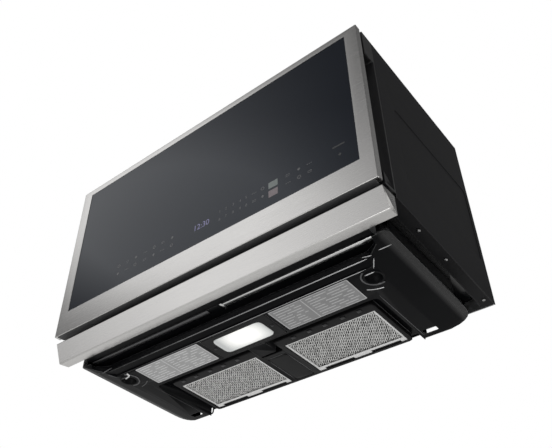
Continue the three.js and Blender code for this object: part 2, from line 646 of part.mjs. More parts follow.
function basePan() {
  const { front, back, wingFront } = TRAY;
  const form = trayForm(0);
  const shell = cut(form, trayForm(SHEET));
  const bay = box(
    -BAY.half - SHEET, BAY.half + SHEET, BAY.front - SHEET, back - 8, 0, BAY.depth + SHEET);
  const bayHollow = prismZ(rectangle(-BAY.half, BAY.half, BAY.front, back + 40, 10), -1, BAY.depth);
  const airways = boxPair(FILTER.inner + 4, FILTER.outer - 4, FILTER.front + 4, FILTER.back - 4, -1, 40);
  const tongue = (inset, low, high) => prismZ(
    rectangle(-TONGUE.half + inset, TONGUE.half - inset, BAY.front - 1, TONGUE.back - inset, 5), low, high);
  const ledgePlan = (grow) => [
    [-LEDGE.frontHalf - grow, front - 5], [LEDGE.frontHalf + grow, front - 5],
    [LEDGE.backHalf + grow, LEDGE.back + grow], [-LEDGE.backHalf - grow, LEDGE.back + grow],
  ];
  const ledge = prismZ(ledgePlan(SHEET), 0, LEDGE.rise + SHEET).intersect(form);
  const ledgeCut = prismZ(ledgePlan(0), -1, LEDGE.rise);
  const onCups = (...style) => [-CUP.x, CUP.x].map((x) => rod('z', [x, CUP.y], ...style));
  const cups = onCups(-1.4, 12, CUP.rim, 28, CUP.rim - 2);
  const cupHollows = onCups(-2, 10.5, CUP.hollow, 28, CUP.hollow - 1);
  const ventPath = box(
    -TRAY.half + 18, TRAY.half - 18, wingFront - 1, VENT_PLATE.back + 8, TRAY.roll + 1, 100);
  const lampOpening = box(-LAMP.half - 1, LAMP.half + 1, LAMP.front - 1, LAMP.back + 1, -1, 5);
  const hookOpenings = boxPair(HOOK.inner, HOOK.outer, back - 16, back + 20, HOOK.low, HOOK.high);
  const [x0, x1, y0, y1] = HOOK.slot;
  const hookSlots = [[x0, x1], [-x1, -x0]].map(([a, b]) => prismZ(rectangle(a, b, y0, y1, 3), -1, SHEET + 1));
  const pressed = cut(join(shell, bay, ledge, ...cups), bayHollow, ledgeCut, ...cupHollows);
  const pan = cut(
    join(pressed, tongue(0, 0, BAY.depth + SHEET)),
    tongue(SHEET, SHEET, BAY.depth + 8), airways, ventPath, lampOpening, hookOpenings, ...hookSlots);
  return cut(onTray(pan), box(-400, 400, FRONT, 10, FLOOR - GAP, 0));
}

/** The black frame that holds the two filters, notched round the tongue behind the lamp. */
function filterCarrier() {
  const { half, front, back, under } = CARRIER;
  const top = BAY.depth - GAP;
  const body = prismZ(rectangle(-half, half, front, back, 8), under, top, 2, 2);
  const notch = prismZ(rectangle(-25, 25, front - 10, FRONT + 229, 4), 0, 20);
  const windows = boxPair(FILTER.inner, FILTER.outer, FILTER.front, FILTER.back, 0, 20);
  const panel = (inset, low, high) => prismZ(
    rectangle(-23 + inset, 23 - inset, FRONT + 238 + inset, FRONT + 336 - inset, 8), low, high);
  const groove = cut(panel(0, 1, under + 1.5), panel(2.5, 0, under + 2));
  return onTray(cut(body, notch, windows, groove));
}

function filterFrame(side) {
  const { inner, outer, front, back, under, thick } = FILTER;
  const x = (a, b) => [side * a, side * b].sort((m, n) => m - n);
  const rim = cut(
    box(...x(inner + 0.8, outer - 0.8), front + 0.8, back - 0.8, under, under + thick),
    box(...x(inner + 5, outer - 5), front + 5, back - 8, under - 1, under + thick + 1));
  const middle = (inner + outer) / 2;
  const notches = [-48, 48].map((dx) =>
    box(...x(middle + dx - 18, middle + dx + 18), back - 3.5, back + 1, under - 1, under + 3));
  return onTray(cut(rim, ...notches));
}

/** The pad of folded mesh inside a filter's frame. */
function filterMesh(side) {
  const { inner, outer, front, back, under } = FILTER;
  const [x0, x1] = [side * (inner + 5 + GAP), side * (outer - 5 - GAP)].sort((m, n) => m - n);
  return onTray(box(x0, x1, front + 5 + GAP, back - 8 - GAP, under + 1, under + 5));
}

function lampCover() {
  const plate = prismZ(rectangle(-LAMP.half, LAMP.half, LAMP.front, LAMP.back, 5), 0, 2);
  const window = prismZ(
    rectangle(-LAMP.lensHalf - GAP, LAMP.lensHalf + GAP, LAMP.lensFront - GAP, LAMP.lensBack + GAP, 11), -1, 3);
  return onTray(cut(plate, window));
}

function lampHousing() {
  const lift = SHEET + GAP;
  const shell = cut(
    box(-86, 86, FRONT + 104.4, BAY.front - SHEET - GAP, lift, 24),
    box(-84, 84, FRONT + 105.9, BAY.front - SHEET - GAP - 1.5, 0, 22.5));
  return onTray(shell);
}

function lampBoard() {
  const card = box(-54, 54, FRONT + 124, FRONT + 168, 20.4, 22);
  const diodes = [-36, -12, 12, 36].map((x) => rod('z', [x, FRONT + 145], 18, 20.6, 4, 8));
  return onTray(join(card, ...diodes));
}

part('base_pan', basePan(), BLACK_STEEL);
part('filter_carrier', filterCarrier(), BLACK_PLASTIC);
part('left_filter_frame', filterFrame(-1), ALUMINIUM);
part('left_filter_mesh', filterMesh(-1), ALUMINIUM);
part('right_filter_frame', filterFrame(1), ALUMINIUM);
part('right_filter_mesh', filterMesh(1), ALUMINIUM);
part('lamp_cover', lampCover(), BLACK_PLASTIC);
part('lamp_lens', onTray(prismZ(
  rectangle(-LAMP.lensHalf, LAMP.lensHalf, LAMP.lensFront, LAMP.lensBack, 11), -1.6, 2.5, 1.4, 3)), CLEAR);
part('lamp_housing', lampHousing(), WHITE_PLASTIC);
part('lamp_board', lampBoard(), BOARD);

// ---- Slide-out vent ----

/** The stainless bar: a folded box, open behind, whose face leans back to its lower edge. */
function ventBar() {
  const { front, lower, back, top, bottom, backTop, backBottom } = BAR;
  const outer = [[front, top, 1.5], [lower, bottom, 2.5], [back, backBottom], [back, backTop]];
  const inner = [
    [front + 2.2, top - SHEET], [lower + 1, bottom + 1.7],
    [back + 1, backBottom + SHEET + 0.1], [back + 1, backTop - SHEET],
  ];
  return cut(prismX(outer, -HALF, HALF, 0, 3), prismX(inner, -HALF + SHEET, HALF - SHEET));
}

function ventPlate() {
  const { half, back } = VENT_PLATE;
  const y0 = BAR.back + GAP;
  const z = BAR.backBottom;
  const plate = box(-half, half, y0, back, z, z + SHEET);
  const upstand = box(-half, half, y0, y0 + SHEET, z, z + 18);
  const bead = prismZ(rectangle(-half + 30, half - 30, y0 + 14, y0 + 26, 5), z - 2, z + 0.1, 1, 1);
  return join(plate, upstand, bead);
}

function slideRail(side) {
  const { x, top, back } = SLIDE;
  const at = (a, b) => [side * a, side * b].sort((m, n) => m - n);
  const y0 = BAR.back + GAP + SHEET + GAP;
  const z0 = BAR.backBottom + SHEET + GAP;
  const foot = box(...at(x - 10, x + SHEET), y0, VENT_PLATE.back, z0, z0 + SHEET);
  const web = box(...at(x, x + SHEET), y0, back, z0, top);
  const flange = box(...at(x, x + 6), y0, back, top - SHEET, top);
  return join(foot, web, flange);
}

/** The fixed channel under the chassis floor that the slide's flange hangs in. */
function railGuide(side) {
  const { x, top } = SLIDE;
  const at = (a, b) => [side * a, side * b].sort((m, n) => m - n);
  const [y0, y1] = [CABINET.front + 2, -120];
  const web = box(...at(x + 7, x + 7 + SHEET), y0, y1, top - 5, FLOOR - GAP);
  const lip = box(...at(x + 2.5, x + 7 + SHEET), y0, y1, top - 5, top - 5 + SHEET);
  const foot = box(...at(x - 4, x + 7 + SHEET), y0, y1, FLOOR - GAP - SHEET, FLOOR - GAP);
  return join(web, lip, foot);
}

part('vent_bar', ventBar(), STAINLESS);
part('vent_plate', ventPlate(), BLACK_STEEL);
part('left_slide', slideRail(-1), ZINC);
part('right_slide', slideRail(1), ZINC);
part('left_rail_guide', railGuide(-1), ZINC);
part('right_rail_guide', railGuide(1), ZINC);

// ---- Door ----

const GLASS = {
  left: -HALF + DOOR.glassSide, right: HALF - DOOR.glassSide,
  bottom: DOOR.bottom + DOOR.glassBottom, top: TOP - DOOR.glassTop,
};

/** The stainless frame: a face with eased edges, folded back all round. */
function doorFrame() {
  const outer = cut(
    prismY(rectangle(-HALF, HALF, DOOR.bottom, TOP, 2), FRONT, FRONT + DOOR.rim + 4, 1.2, 2),
    box(-HALF - 1, HALF + 1, FRONT + DOOR.rim, FRONT + 40, DOOR.bottom - 1, TOP + 1));
  const inside = box(-HALF + SHEET, HALF - SHEET, FRONT + SHEET, FRONT + 40, DOOR.bottom + SHEET, TOP - SHEET);
  const opening = box(GLASS.left, GLASS.right, FRONT - 1, FRONT + 5, GLASS.bottom, GLASS.top);
  return cut(outer, inside, opening);
}

/** A rounded plate along Y over the door's window, wider than it by a margin. */
const overWindow = (margin, y0, y1, corner) => prismY(rectangle(
  WINDOW.left - margin, WINDOW.right + margin, WINDOW.bottom - margin, WINDOW.top + margin, corner), y0, y1);

/** The same over the cavity's mouth. */
const overMouth = (margin, y0, y1, corner) => prismY(rectangle(
  CAVITY.left - margin, CAVITY.right + margin, CAVITY.bottom - margin, CAVITY.top + margin, corner), y0, y1);

/** The moulded core behind the glass, with pockets for the touch board and the latch. */
function doorCore() {
  const { coreInset: inset, back } = DOOR;
  const front = FRONT + 5.2;
  const [left, right] = [-HALF + inset, HALF - inset];
  const [bottom, top] = [DOOR.bottom + 5, TOP - 5];
  const slab = prismY(rectangle(left, right, bottom, top, 4), front, back);
  const window = overWindow(0, front - 1, back + 1, 10);
  const boardPocket = box(
    BOARD_POCKET.left, BOARD_POCKET.right, front - 1, front + 5, BOARD_POCKET.bottom, BOARD_POCKET.top);
  const backPocket = overWindow(12, back - 5, back + 1, 12);
  const chokePocket = cut(overMouth(2, back - 3.6, back + 1, 10), overWindow(16, back - 6, back + 1, 12));
  const latchPocket = box(LATCH.x - 6, LATCH.x + 6, front + 3, back + 1, -LATCH.hook - 14, LATCH.hook + 20);
  const corners = [[TOP - 9.5, TOP], [DOOR.bottom, DOOR.bottom + 9.5]].map(([z0, z1]) =>
    box(left - 1, left + 16, front + 3, back + 1, z0, z1));
  const lug = (z0) => join(
    rod('z', [HINGE.x, HINGE.y], z0, z0 + 12, HINGE.lug, 20),
    box(HINGE.x, left + 8, HINGE.y - HINGE.lug, HINGE.y, z0, z0 + 12));
  const pinHoles = rod('z', [HINGE.x, HINGE.y], -300, 300, HINGE.pin + GAP, 16);
  const [upper, lower] = [TOP - 9.5 - 12, DOOR.bottom + 9.5];
  const body = cut(slab, window, boardPocket, backPocket, chokePocket, latchPocket, ...corners);
  return cut(join(body, lug(upper), lug(lower)), pinHoles);
}

function chokeCover() {
  const { back } = DOOR;
  return cut(overMouth(1, back - 3, back, 9), overWindow(17, back - 4, back + 1, 12));
}

/** The latch: two hooks on one bar that rises as it rides over the keeper, and drops behind it. */
function latchHook() {
  const { x, hook, reach } = LATCH;
  const y0 = DOOR.back - 6;
  const bar = box(x - 4, x + 4, y0, y0 + 4, -hook - 8, hook + 8);
  const shank = (z) => prismX([
    [y0 + 3, z - 5], [y0 + reach, z - 5], [y0 + reach, z - 10], [y0 + reach + 4, z - 10],
    [y0 + reach + 9, z - 4], [y0 + reach + 4, z + 4], [y0 + 3, z + 5],
  ], x - 2, x + 2);
  return join(bar, shank(-hook), shank(hook));
}

/** The glass fills the frame's opening and lies just behind the frame's face. */
function doorGlass() {
  const { left, right, bottom, top } = GLASS;
  return box(left + GAP, right - GAP, FRONT + 0.8, FRONT + 4.8, bottom + GAP, top - GAP);
}

/** The touch board with its clock display. */
function touchBoard() {
  const { left, right, bottom, top } = BOARD_POCKET;
  const front = FRONT + 5.6;
  const display = box(-28, 36, front + 1.4, front + 4, bottom + 8, top - 12);
  return join(box(left + 4, right - 4, front, front + 1.6, bottom + 4, top - 4), display);
}

part('door_frame', doorFrame(), STAINLESS);
part('door_glass', doorGlass(), BLACK_GLASS);
part('door_core', doorCore(), BLACK_PLASTIC);
part('choke_cover', chokeCover(), BLACK_PLASTIC);
part('door_screen', overWindow(11, DOOR.back - 4.6, DOOR.back - 3.8, 11), BLACK_STEEL);
part('inner_window', overWindow(11, DOOR.back - 3.4, DOOR.back - 0.6, 11), CLEAR);
part('touch_board', touchBoard(), BOARD);
part('latch_hook', latchHook(), BLACK_PLASTIC);

// ---- Hinges ----

function hingeBracket(armZ, plateZ) {
  const { x, y, pin } = HINGE;
  const foot = box(x + 6, -HALF + 26, BEZEL.front - 0.2, BEZEL.front + 2 - GAP, plateZ, plateZ + 22);
  const arm = join(
    rod('z', [x, y], armZ, armZ + 2, 3.8, 20),
    box(x - 2.6, x + 12, y, BEZEL.front + 1, armZ, armZ + 2));
  return cut(join(foot, arm), rod('z', [x, y], armZ - 1, armZ + 3, pin + GAP, 16));
}

function hingePin(z0, z1, headZ) {
  const { x, y, pin } = HINGE;
  return join(rod('z', [x, y], z0, z1, pin, 16), rod('z', [x, y], headZ, headZ + 1, pin + 1.4, 16));
}

const UPPER_ARM = TOP - 8.6;
const LOWER_ARM = DOOR.bottom + 6.6;
part('upper_hinge_bracket', hingeBracket(UPPER_ARM, TOP - 25), ZINC);
part('lower_hinge_bracket', hingeBracket(LOWER_ARM, DOOR.bottom + 3), ZINC);
part('upper_hinge_pin', hingePin(UPPER_ARM - 11, UPPER_ARM + 3, UPPER_ARM + 2.3), STAINLESS);
part('lower_hinge_pin', hingePin(LOWER_ARM - 1.2, LOWER_ARM + 13, LOWER_ARM - 1.3), STAINLESS);

export default microwave;
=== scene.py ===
"""Finishes, trims and small parts for an over-the-range microwave oven.

Lengths are millimetres unless a name says otherwise. X runs to the right seen from the front, Y
to the rear and Z up; the origin is the middle of the rear face.
"""

import json
import logging
import math
import random
from dataclasses import dataclass
from enum import Enum, IntEnum
from typing import Any, Callable, Optional, Sequence, Union

import bmesh
import bpy
from mathutils import Matrix, Vector

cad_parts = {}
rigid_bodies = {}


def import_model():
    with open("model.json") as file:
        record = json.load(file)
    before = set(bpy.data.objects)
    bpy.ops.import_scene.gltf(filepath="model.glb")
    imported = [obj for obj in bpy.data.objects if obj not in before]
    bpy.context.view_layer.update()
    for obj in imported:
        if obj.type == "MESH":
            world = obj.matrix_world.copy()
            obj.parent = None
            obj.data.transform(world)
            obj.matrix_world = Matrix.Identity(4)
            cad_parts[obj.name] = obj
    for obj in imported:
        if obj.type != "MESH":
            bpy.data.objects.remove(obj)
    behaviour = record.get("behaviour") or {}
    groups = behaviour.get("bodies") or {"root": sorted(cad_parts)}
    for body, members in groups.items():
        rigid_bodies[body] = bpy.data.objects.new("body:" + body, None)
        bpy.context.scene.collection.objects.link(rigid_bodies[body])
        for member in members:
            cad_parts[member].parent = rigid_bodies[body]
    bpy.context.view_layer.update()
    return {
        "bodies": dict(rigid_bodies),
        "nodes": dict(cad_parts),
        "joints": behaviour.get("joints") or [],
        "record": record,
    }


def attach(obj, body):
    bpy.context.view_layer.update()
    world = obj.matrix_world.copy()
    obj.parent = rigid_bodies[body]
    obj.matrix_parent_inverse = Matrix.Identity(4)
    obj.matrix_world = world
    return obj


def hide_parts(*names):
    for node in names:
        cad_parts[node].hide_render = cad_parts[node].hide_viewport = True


log = logging.getLogger("microwave")

MM = 0.001
PER_METRE = 1000.0
FULL_TURN = 2 * math.pi
UP = Vector((0, 0, 1))
DOWN = Vector((0, 0, -1))
FORWARD = Vector((0, -1, 0))

Color = tuple[float, float, float]
Point = tuple[float, float, float]
Pair = tuple[float, float]
Run = tuple[Point, Point, float]
Box = tuple[Pair, Pair, Pair]
Bend = tuple[float, float, float, int]
Socket = bpy.types.NodeSocket


# ---- Shader arithmetic ----


def operator(operation: str, swapped: bool = False) -> Callable[..., "Value"]:
    """Makes an operator that adds a Math node.

    Args:
        operation: the node's operation.
        swapped: whether self is the last operand, as in 1 - mask.

    Returns:
        The operator.
    """

    def apply(self: "Value", *others: "Number") -> "Value":
        """Works out the operation on self and the other operand, if it takes one."""
        return self.math(operation, *((*others, self) if swapped else (self, *others)))

    return apply


class Value:
    """A number that a shader works out."""

    def __init__(self, tree: bpy.types.NodeTree, socket: Socket) -> None:
        """Wraps an output socket of a node tree."""
        self.tree = tree
        self.socket = socket

    def math(self, operation: str, *operands: "Number") -> "Value":
        """Adds a Math node.

        Args:
            operation: the node's operation.
            operands: its inputs, in order.

        Returns:
            The node's result.
        """
        node = self.tree.nodes.new("ShaderNodeMath")
        node.operation = operation
        for socket, operand in zip(node.inputs, operands):
            if isinstance(operand, Value):
                self.tree.links.new(operand.socket, socket)
            else:
                socket.default_value = operand
        return Value(self.tree, node.outputs[0])

    __add__ = operator("ADD")
    __radd__ = operator("ADD", swapped=True)
    __sub__ = operator("SUBTRACT")
    __rsub__ = operator("SUBTRACT", swapped=True)
    __mul__ = operator("MULTIPLY")
    __rmul__ = operator("MULTIPLY", swapped=True)
    __truediv__ = operator("DIVIDE")
    __pow__ = operator("POWER")
    __lt__ = operator("LESS_THAN")
    __gt__ = operator("GREATER_THAN")
    __abs__ = operator("ABSOLUTE")
    sine = operator("SINE")
    exponential = operator("EXPONENT")

    def clamped(self, low: float = 0.0, high: float = 1.0) -> "Value":
        """Keeps self between two limits."""
        return self.math("MINIMUM", self.math("MAXIMUM", self, low), high)

    def ramp(self, start: float, width: float) -> "Value":
        """0 up to a start, and 1 from a width beyond it."""
        return ((self - start) / width).clamped()

    def swing(self, reach: float) -> "Value":
        """How far self is from its usual 0.5, times a reach."""
        return (self - 0.5) * reach


Number = Union[float, Value]


class Nodes:
    """A node tree, with the helpers that the finishes and the world share."""

    def __init__(self, tree: bpy.types.NodeTree) -> None:
        """Takes the tree that the nodes go in."""
        self.tree = tree

    def node(self, kind: str, settings: Optional[dict[str, Any]] = None,
             **sockets: Any) -> bpy.types.Node:
        """Adds a node.

        Args:
            kind: the node's type, without its common prefix.
            settings: its own properties, set before its sockets.
            sockets: values or links of its sockets; an underscore in a name stands for a space.

        Returns:
            The new node.
        """
        node = self.tree.nodes.new(f"ShaderNode{kind}")
        for key, value in (settings or {}).items():
            setattr(node, key, value)
        for key, value in sockets.items():
            self.feed(node.inputs[key.replace("_", " ")], value)
        return node

    def feed(self, socket: Socket, value: Any) -> None:
        """Links a socket or sets its value.

        Args:
            socket: the input socket.
            value: a Value, an output socket, a number or a tuple.
        """
        if isinstance(value, Value):
            value = value.socket
        if isinstance(value, Socket):
            self.tree.links.new(value, socket)
        elif isinstance(value, tuple) and socket.type == "RGBA":
            socket.default_value = (*value, 1.0)
        else:
            socket.default_value = value

    def read(self, node: bpy.types.Node, output: Union[str, int]) -> Value:
        """A node's output as a value."""
        return Value(self.tree, node.outputs[output])

    def cosine(self, first: Any, second: Any) -> Value:
        """The cosine between two directions.

        Args:
            first, second: links or vectors of length 1.

        Returns:
            Their dot product.
        """
        node = self.node("VectorMath", {"operation": "DOT_PRODUCT"})
        self.feed(node.inputs[0], first)
        self.feed(node.inputs[1], second)
        return self.read(node, "Value")


class Canvas(Nodes):
    """One material's node tree, which reads the object's own coordinates."""

    def __init__(self, name: str) -> None:
        """Starts a material of a name that holds one Principled shader."""
        self.material = bpy.data.materials.new(name)
        self.material.use_nodes = True
        super().__init__(self.material.node_tree)
        self.shader = self.tree.nodes["Principled BSDF"]
        self.place = self.node("TexCoord").outputs["Object"]

    def stretched(self, scale: Point, turn: Point = (0.0, 0.0, 0.0)) -> Socket:
        """The place on the object, scaled per axis, in pattern units per metre."""
        mapping = self.node("Mapping", Vector=self.place, Scale=scale, Rotation=turn)
        return mapping.outputs["Vector"]

    def noise(self, per_metre: float, detail: float = 3.0, vector: Any = None,
              roughness: float = 0.5) -> Value:
        """Cloudy variation.

        Args:
            per_metre: how many clouds there are along a metre.
            detail: how many finer layers it has.
            vector: a place to read instead of the object's own.
            roughness: how strong the finer layers are.

        Returns:
            A value about 0.5.
        """
        node = self.node("TexNoise", Vector=vector or self.place, Scale=per_metre,
                         Detail=detail, Roughness=roughness)
        return self.read(node, "Fac")

    def cells(self, per_metre: float, distance: str = "EUCLIDEAN") -> bpy.types.Node:
        """A cell pattern, whose distance or colour is read."""
        return self.node("TexVoronoi", {"distance": distance}, Vector=self.place,
                         Scale=per_metre)

    def along(self, axis: str) -> Value:
        """The place along one axis, in millimetres."""
        return self.read(self.node("SeparateXYZ", Vector=self.place), axis) * PER_METRE

    def rounded(self, radius_mm: Number) -> Socket:
        """The surface's direction, with its sharp edges rounded."""
        bevel = self.node("Bevel", {"samples": 6}, Radius=radius_mm * MM)
        return bevel.outputs["Normal"]

    def edges(self, radius_mm: float) -> Value:
        """1 along the sharp edges and 0 on the flats.

        Args:
            radius_mm: how far from an edge it reaches.

        Returns:
            The mask.
        """
        contrast, floor = 7.0, 0.12
        surface = self.node("NewGeometry").outputs["Normal"]
        return ((1 - self.cosine(self.rounded(radius_mm), surface)) * contrast - floor).clamped()

    def blend(self, factor: Number, first: Any, second: Any) -> Socket:
        """Mixes two colours.

        Args:
            factor: the share of the second one.
            first, second: colours or links.

        Returns:
            The mixed colour.
        """
        node = self.node("Mix", {"data_type": "RGBA"})
        for index, value in ((0, factor), (6, first), (7, second)):
            self.feed(node.inputs[index], value)
        return node.outputs[2]

    def bump(self, height: Value, depth_mm: float, strength: float,
             edge_mm: Optional[Number] = None) -> None:
        """Feeds the shader's normal with a relief.

        Args:
            height: the relief, from 0 to 1.
            depth_mm: how deep the relief is.
            strength: how much of it shows.
            edge_mm: radius that rounds the sharp edges, if they are rounded.
        """
        node = self.node("Bump", Height=height, Distance=depth_mm * MM, Strength=strength)
        if edge_mm is not None:
            self.feed(node.inputs["Normal"], self.rounded(edge_mm))
        self.set(Normal=node.outputs["Normal"])

    def set(self, **sockets: Any) -> None:
        """Sets or links the shader's own sockets."""
        for key, value in sockets.items():
            self.feed(self.shader.inputs[key.replace("_", " ")], value)


def shade(color: Color, factor: float) -> Color:
    """A colour made lighter or darker."""
    return tuple(min(1.0, channel * factor) for channel in color)  # type: ignore[return-value]


# ---- Finishes ----


@dataclass(frozen=True)
class Finish:
    """A surface finish; a subclass adds its pattern.

    Args:
        name: the material's name.
        color: its colour, in linear light.
        roughness: how matt it is.
    """

    name: str
    color: Color
    roughness: float

    def paint(self, canvas: Canvas) -> None:
        """Draws the finish on a canvas."""
        raise NotImplementedError

    def vary(self, canvas: Canvas, tone: Number, shades: Pair, gloss: Value,
             **sockets: Any) -> None:
        """Sets the shader's colour between two shades, its roughness and other sockets.

        Args:
            canvas: where it goes.
            tone: 0 where the first shade shows and 1 where the second does.
            shades: both shades, as factors of the colour.
            gloss: what the surface adds to the roughness.
            sockets: the shader's other sockets.
        """
        first, second = (shade(self.color, factor) for factor in shades)
        canvas.set(Base_Color=canvas.blend(tone, first, second), Roughness=gloss + self.roughness,
                   **sockets)

    def material(self) -> bpy.types.Material:
        """The finish as a material, made once; the frame's own materials keep their plain names.

        Returns:
            The material.
        """
        name = f"{self.name}_finish"
        known = bpy.data.materials.get(name)
        if known is not None:
            return known
        canvas = Canvas(name)
        self.paint(canvas)
        return canvas.material


@dataclass(frozen=True)
class BrushedSteel(Finish):
    """Stainless steel with a fine grain along X."""

    grain: Point = (14.0, 2600.0, 2600.0)

    def paint(self, canvas: Canvas) -> None:
        """Streaks in the colour, the gloss and the relief.

        Args:
            canvas: where it goes.
        """
        streaks = canvas.noise(1.0, 4.0, canvas.stretched(self.grain), 0.65)
        tone = streaks.swing(0.5) + canvas.noise(9.0, 2.0).swing(0.25) + 0.5
        self.vary(canvas, tone.clamped(), (0.86, 1.12), streaks.swing(0.22), Metallic=1.0)
        canvas.bump(streaks, 0.03, 0.35, 0.25)


@dataclass(frozen=True)
class PowderCoat(Finish):
    """Satin paint on sheet steel, with a fine orange peel, a gloss along its edges and a painted
    highlight that lightens the colour there.

    A tray's outer ends, from roll_start on, look as broadly rolled as roll_mm.
    """

    peel_mm: float
    rubbed: float
    index: float = 1.16
    roll_mm: float = 0.0
    roll_gloss: float = 0.0
    roll_start: float = 334.0
    roll_blend: float = 10.0

    def paint(self, canvas: Canvas) -> None:
        """Orange peel in the relief, clouds in the gloss, and along the edges a gloss and a
        painted highlight in the colour.

        Args:
            canvas: where it goes.
        """
        edge_mm, highlight_reach_mm, painted_highlight_grey = 1.2, 1.6, (0.3, 0.3, 0.305)
        peel = canvas.noise(PER_METRE / self.peel_mm, 2.0)
        clouds = canvas.noise(14.0, 4.0)
        # The edge mask feeds the coat's gloss and a painted highlight in the colour.
        rubbed = canvas.edges(highlight_reach_mm) * (clouds * 0.5 + 0.75) * self.rubbed
        body = canvas.blend(clouds, shade(self.color, 0.8), shade(self.color, 1.25))
        outer = abs(canvas.along("X")).ramp(self.roll_start, self.roll_blend)
        # Base_Color turns towards a lighter grey along the edges: painted highlight.
        canvas.set(
            Base_Color=canvas.blend((rubbed * 0.6).clamped(), body, painted_highlight_grey),
            Roughness=clouds.swing(0.16) + peel.swing(0.1) + self.roughness,
            Coat_Weight=(rubbed + outer * self.roll_gloss).clamped(),
            Coat_Roughness=0.12,
            IOR=self.index)
        canvas.bump(peel, 0.05, 0.25, outer * self.roll_mm + edge_mm)


@dataclass(frozen=True)
class MouldedPlastic(Finish):
    """Moulded plastic with a fine eroded grain."""

    grain_mm: float = 0.5
    relief: float = 0.3
    index: float = 1.47

    def paint(self, canvas: Canvas) -> None:
        """A cell grain in the relief, a little cloud in the colour and a gloss along the edges.

        Args:
            canvas: where it goes.
        """
        clouds = canvas.noise(25.0, 3.0)
        self.vary(canvas, clouds, (0.88, 1.12), clouds.swing(0.1),
                  Coat_Weight=(canvas.edges(1.2) * 0.6).clamped(), Coat_Roughness=0.15,
                  IOR=self.index)
        grain = canvas.read(canvas.cells(PER_METRE / self.grain_mm), "Distance")
        canvas.bump(grain, 0.06, self.relief, 0.6)


@dataclass(frozen=True)
class Galvanised(Finish):
    """Zinc-coated sheet with its spangle."""

    spangle_mm: float = 9.0

    def paint(self, canvas: Canvas) -> None:
        """Crystals that differ a little in tone and gloss.

        Args:
            canvas: where it goes.
        """
        color = canvas.cells(PER_METRE / self.spangle_mm).outputs["Color"]
        crystal = canvas.read(canvas.node("SeparateColor", Color=color), 0)
        dust = canvas.noise(60.0, 5.0)
        self.vary(canvas, crystal * 0.7 + dust * 0.3, (0.8, 1.15), crystal * 0.14, Metallic=0.9)
        canvas.bump(dust, 0.03, 0.3, 0.6)


@dataclass(frozen=True)
class BareMetal(Finish):
    """Bare aluminium or steel, dulled a little by handling."""

    mottling_mm: float = 4.0
    metal: float = 1.0

    def paint(self, canvas: Canvas) -> None:
        """Fine mottling in the tone and the gloss.

        Args:
            canvas: where it goes.
        """
        mottling = canvas.noise(PER_METRE / self.mottling_mm, 4.0)
        self.vary(canvas, mottling, (0.82, 1.12), mottling.swing(0.2), Metallic=self.metal)
        canvas.bump(mottling, 0.05, 0.3, 0.4)


@dataclass(frozen=True)
class FadingBead(Finish):
    """A raised black bead whose painted highlight grows brighter towards its right end."""

    dull: Color = (0.05, 0.05, 0.052)
    reach: float = 290.0

    def paint(self, canvas: Canvas) -> None:
        """Fades the painted highlight along X and breaks it up a little.

        Args:
            canvas: where it goes.
        """
        wear_and_highlight_noise = canvas.noise(60.0, 4.0)
        along = canvas.along("X") / (2 * self.reach) + 0.5
        # Painted highlight: bright metal towards the right end, dull grey towards the left.
        highlight_share = (along * 1.1 - 0.1 + wear_and_highlight_noise.swing(0.5)).clamped()
        canvas.set(Base_Color=canvas.blend(highlight_share, self.dull, self.color),
                   Roughness=wear_and_highlight_noise.swing(0.2) + self.roughness, Metallic=1.0)
        canvas.bump(wear_and_highlight_noise, 0.05, 0.2)


@dataclass(frozen=True)
class Enamel(Finish):
    """Speckled cavity enamel."""

    speck: Color = (0.62, 0.6, 0.56)

    def paint(self, canvas: Canvas) -> None:
        """Pale specks in a smooth grey coat.

        Args:
            canvas: where it goes.
        """
        specks = (canvas.read(canvas.cells(420.0), "Distance") < 0.16) * 0.75
        wave = canvas.noise(90.0, 2.0)
        canvas.set(Base_Color=canvas.blend(specks, self.color, self.speck),
                   Roughness=wave.swing(0.1) + self.roughness, Coat_Weight=0.3)
        canvas.bump(wave, 0.08, 0.2, 0.8)


@dataclass(frozen=True)
class PrintedGlass(Finish):
    """Tempered glass, printed black on its back, with faint wipe marks."""

    def paint(self, canvas: Canvas) -> None:
        """Wipe marks in the gloss.

        Args:
            canvas: where it goes.
        """
        wipes = canvas.noise(1.0, 4.0, canvas.stretched((5.0, 5.0, 16.0), (0.0, 0.5, 0.0)))
        self.vary(canvas, wipes, (0.85, 1.2), wipes.swing(0.05), Specular_Tint=(0.8, 0.88, 1.0),
                  IOR=1.36)


@dataclass(frozen=True)
class ClearGlass(Finish):
    """Glass that one sees through."""

    alpha: float = 0.35

    def paint(self, canvas: Canvas) -> None:
        """Faint ripples in the gloss and the tint.

        Args:
            canvas: where it goes.
        """
        ripples = canvas.noise(30.0, 2.0)
        self.vary(canvas, ripples, (0.92, 1.0), ripples.swing(0.04), Alpha=self.alpha, IOR=1.5)


@dataclass(frozen=True)
class LitLens(Finish):
    """The frosted cooktop lens, lit from behind by a row of diodes."""

    centre: Pair = (6.0, -274.0)
    half: Pair = (52.0, 34.0)
    prism_rate: float = 1.6
    dim: Color = (0.16, 0.17, 0.17)
    bright: Color = (1.0, 0.99, 0.95)

    def paint(self, canvas: Canvas) -> None:
        """A glow that is strongest over the diodes, near the front edge, and fades to the sides.

        Args:
            canvas: where it goes.
        """
        y = canvas.along("Y")
        side, front = (1 - (abs(place - middle) / half).clamped() ** 2.0 for place, middle, half
                       in zip((canvas.along("X"), y), self.centre, self.half))
        frost = canvas.noise(500.0, 4.0)
        prisms = (y * self.prism_rate).sine() * 0.5 + 0.5
        glow = (side * front * 0.9 + 0.1) * (frost * 0.6 + 0.7)
        self.vary(canvas, frost, (0.9, 1.0), frost * 0.2, Emission_Strength=1.0,
                  Emission_Color=canvas.blend(glow.clamped(), self.dim, self.bright))
        canvas.bump(prisms * 0.6 + frost * 0.4, 0.3, 0.4)


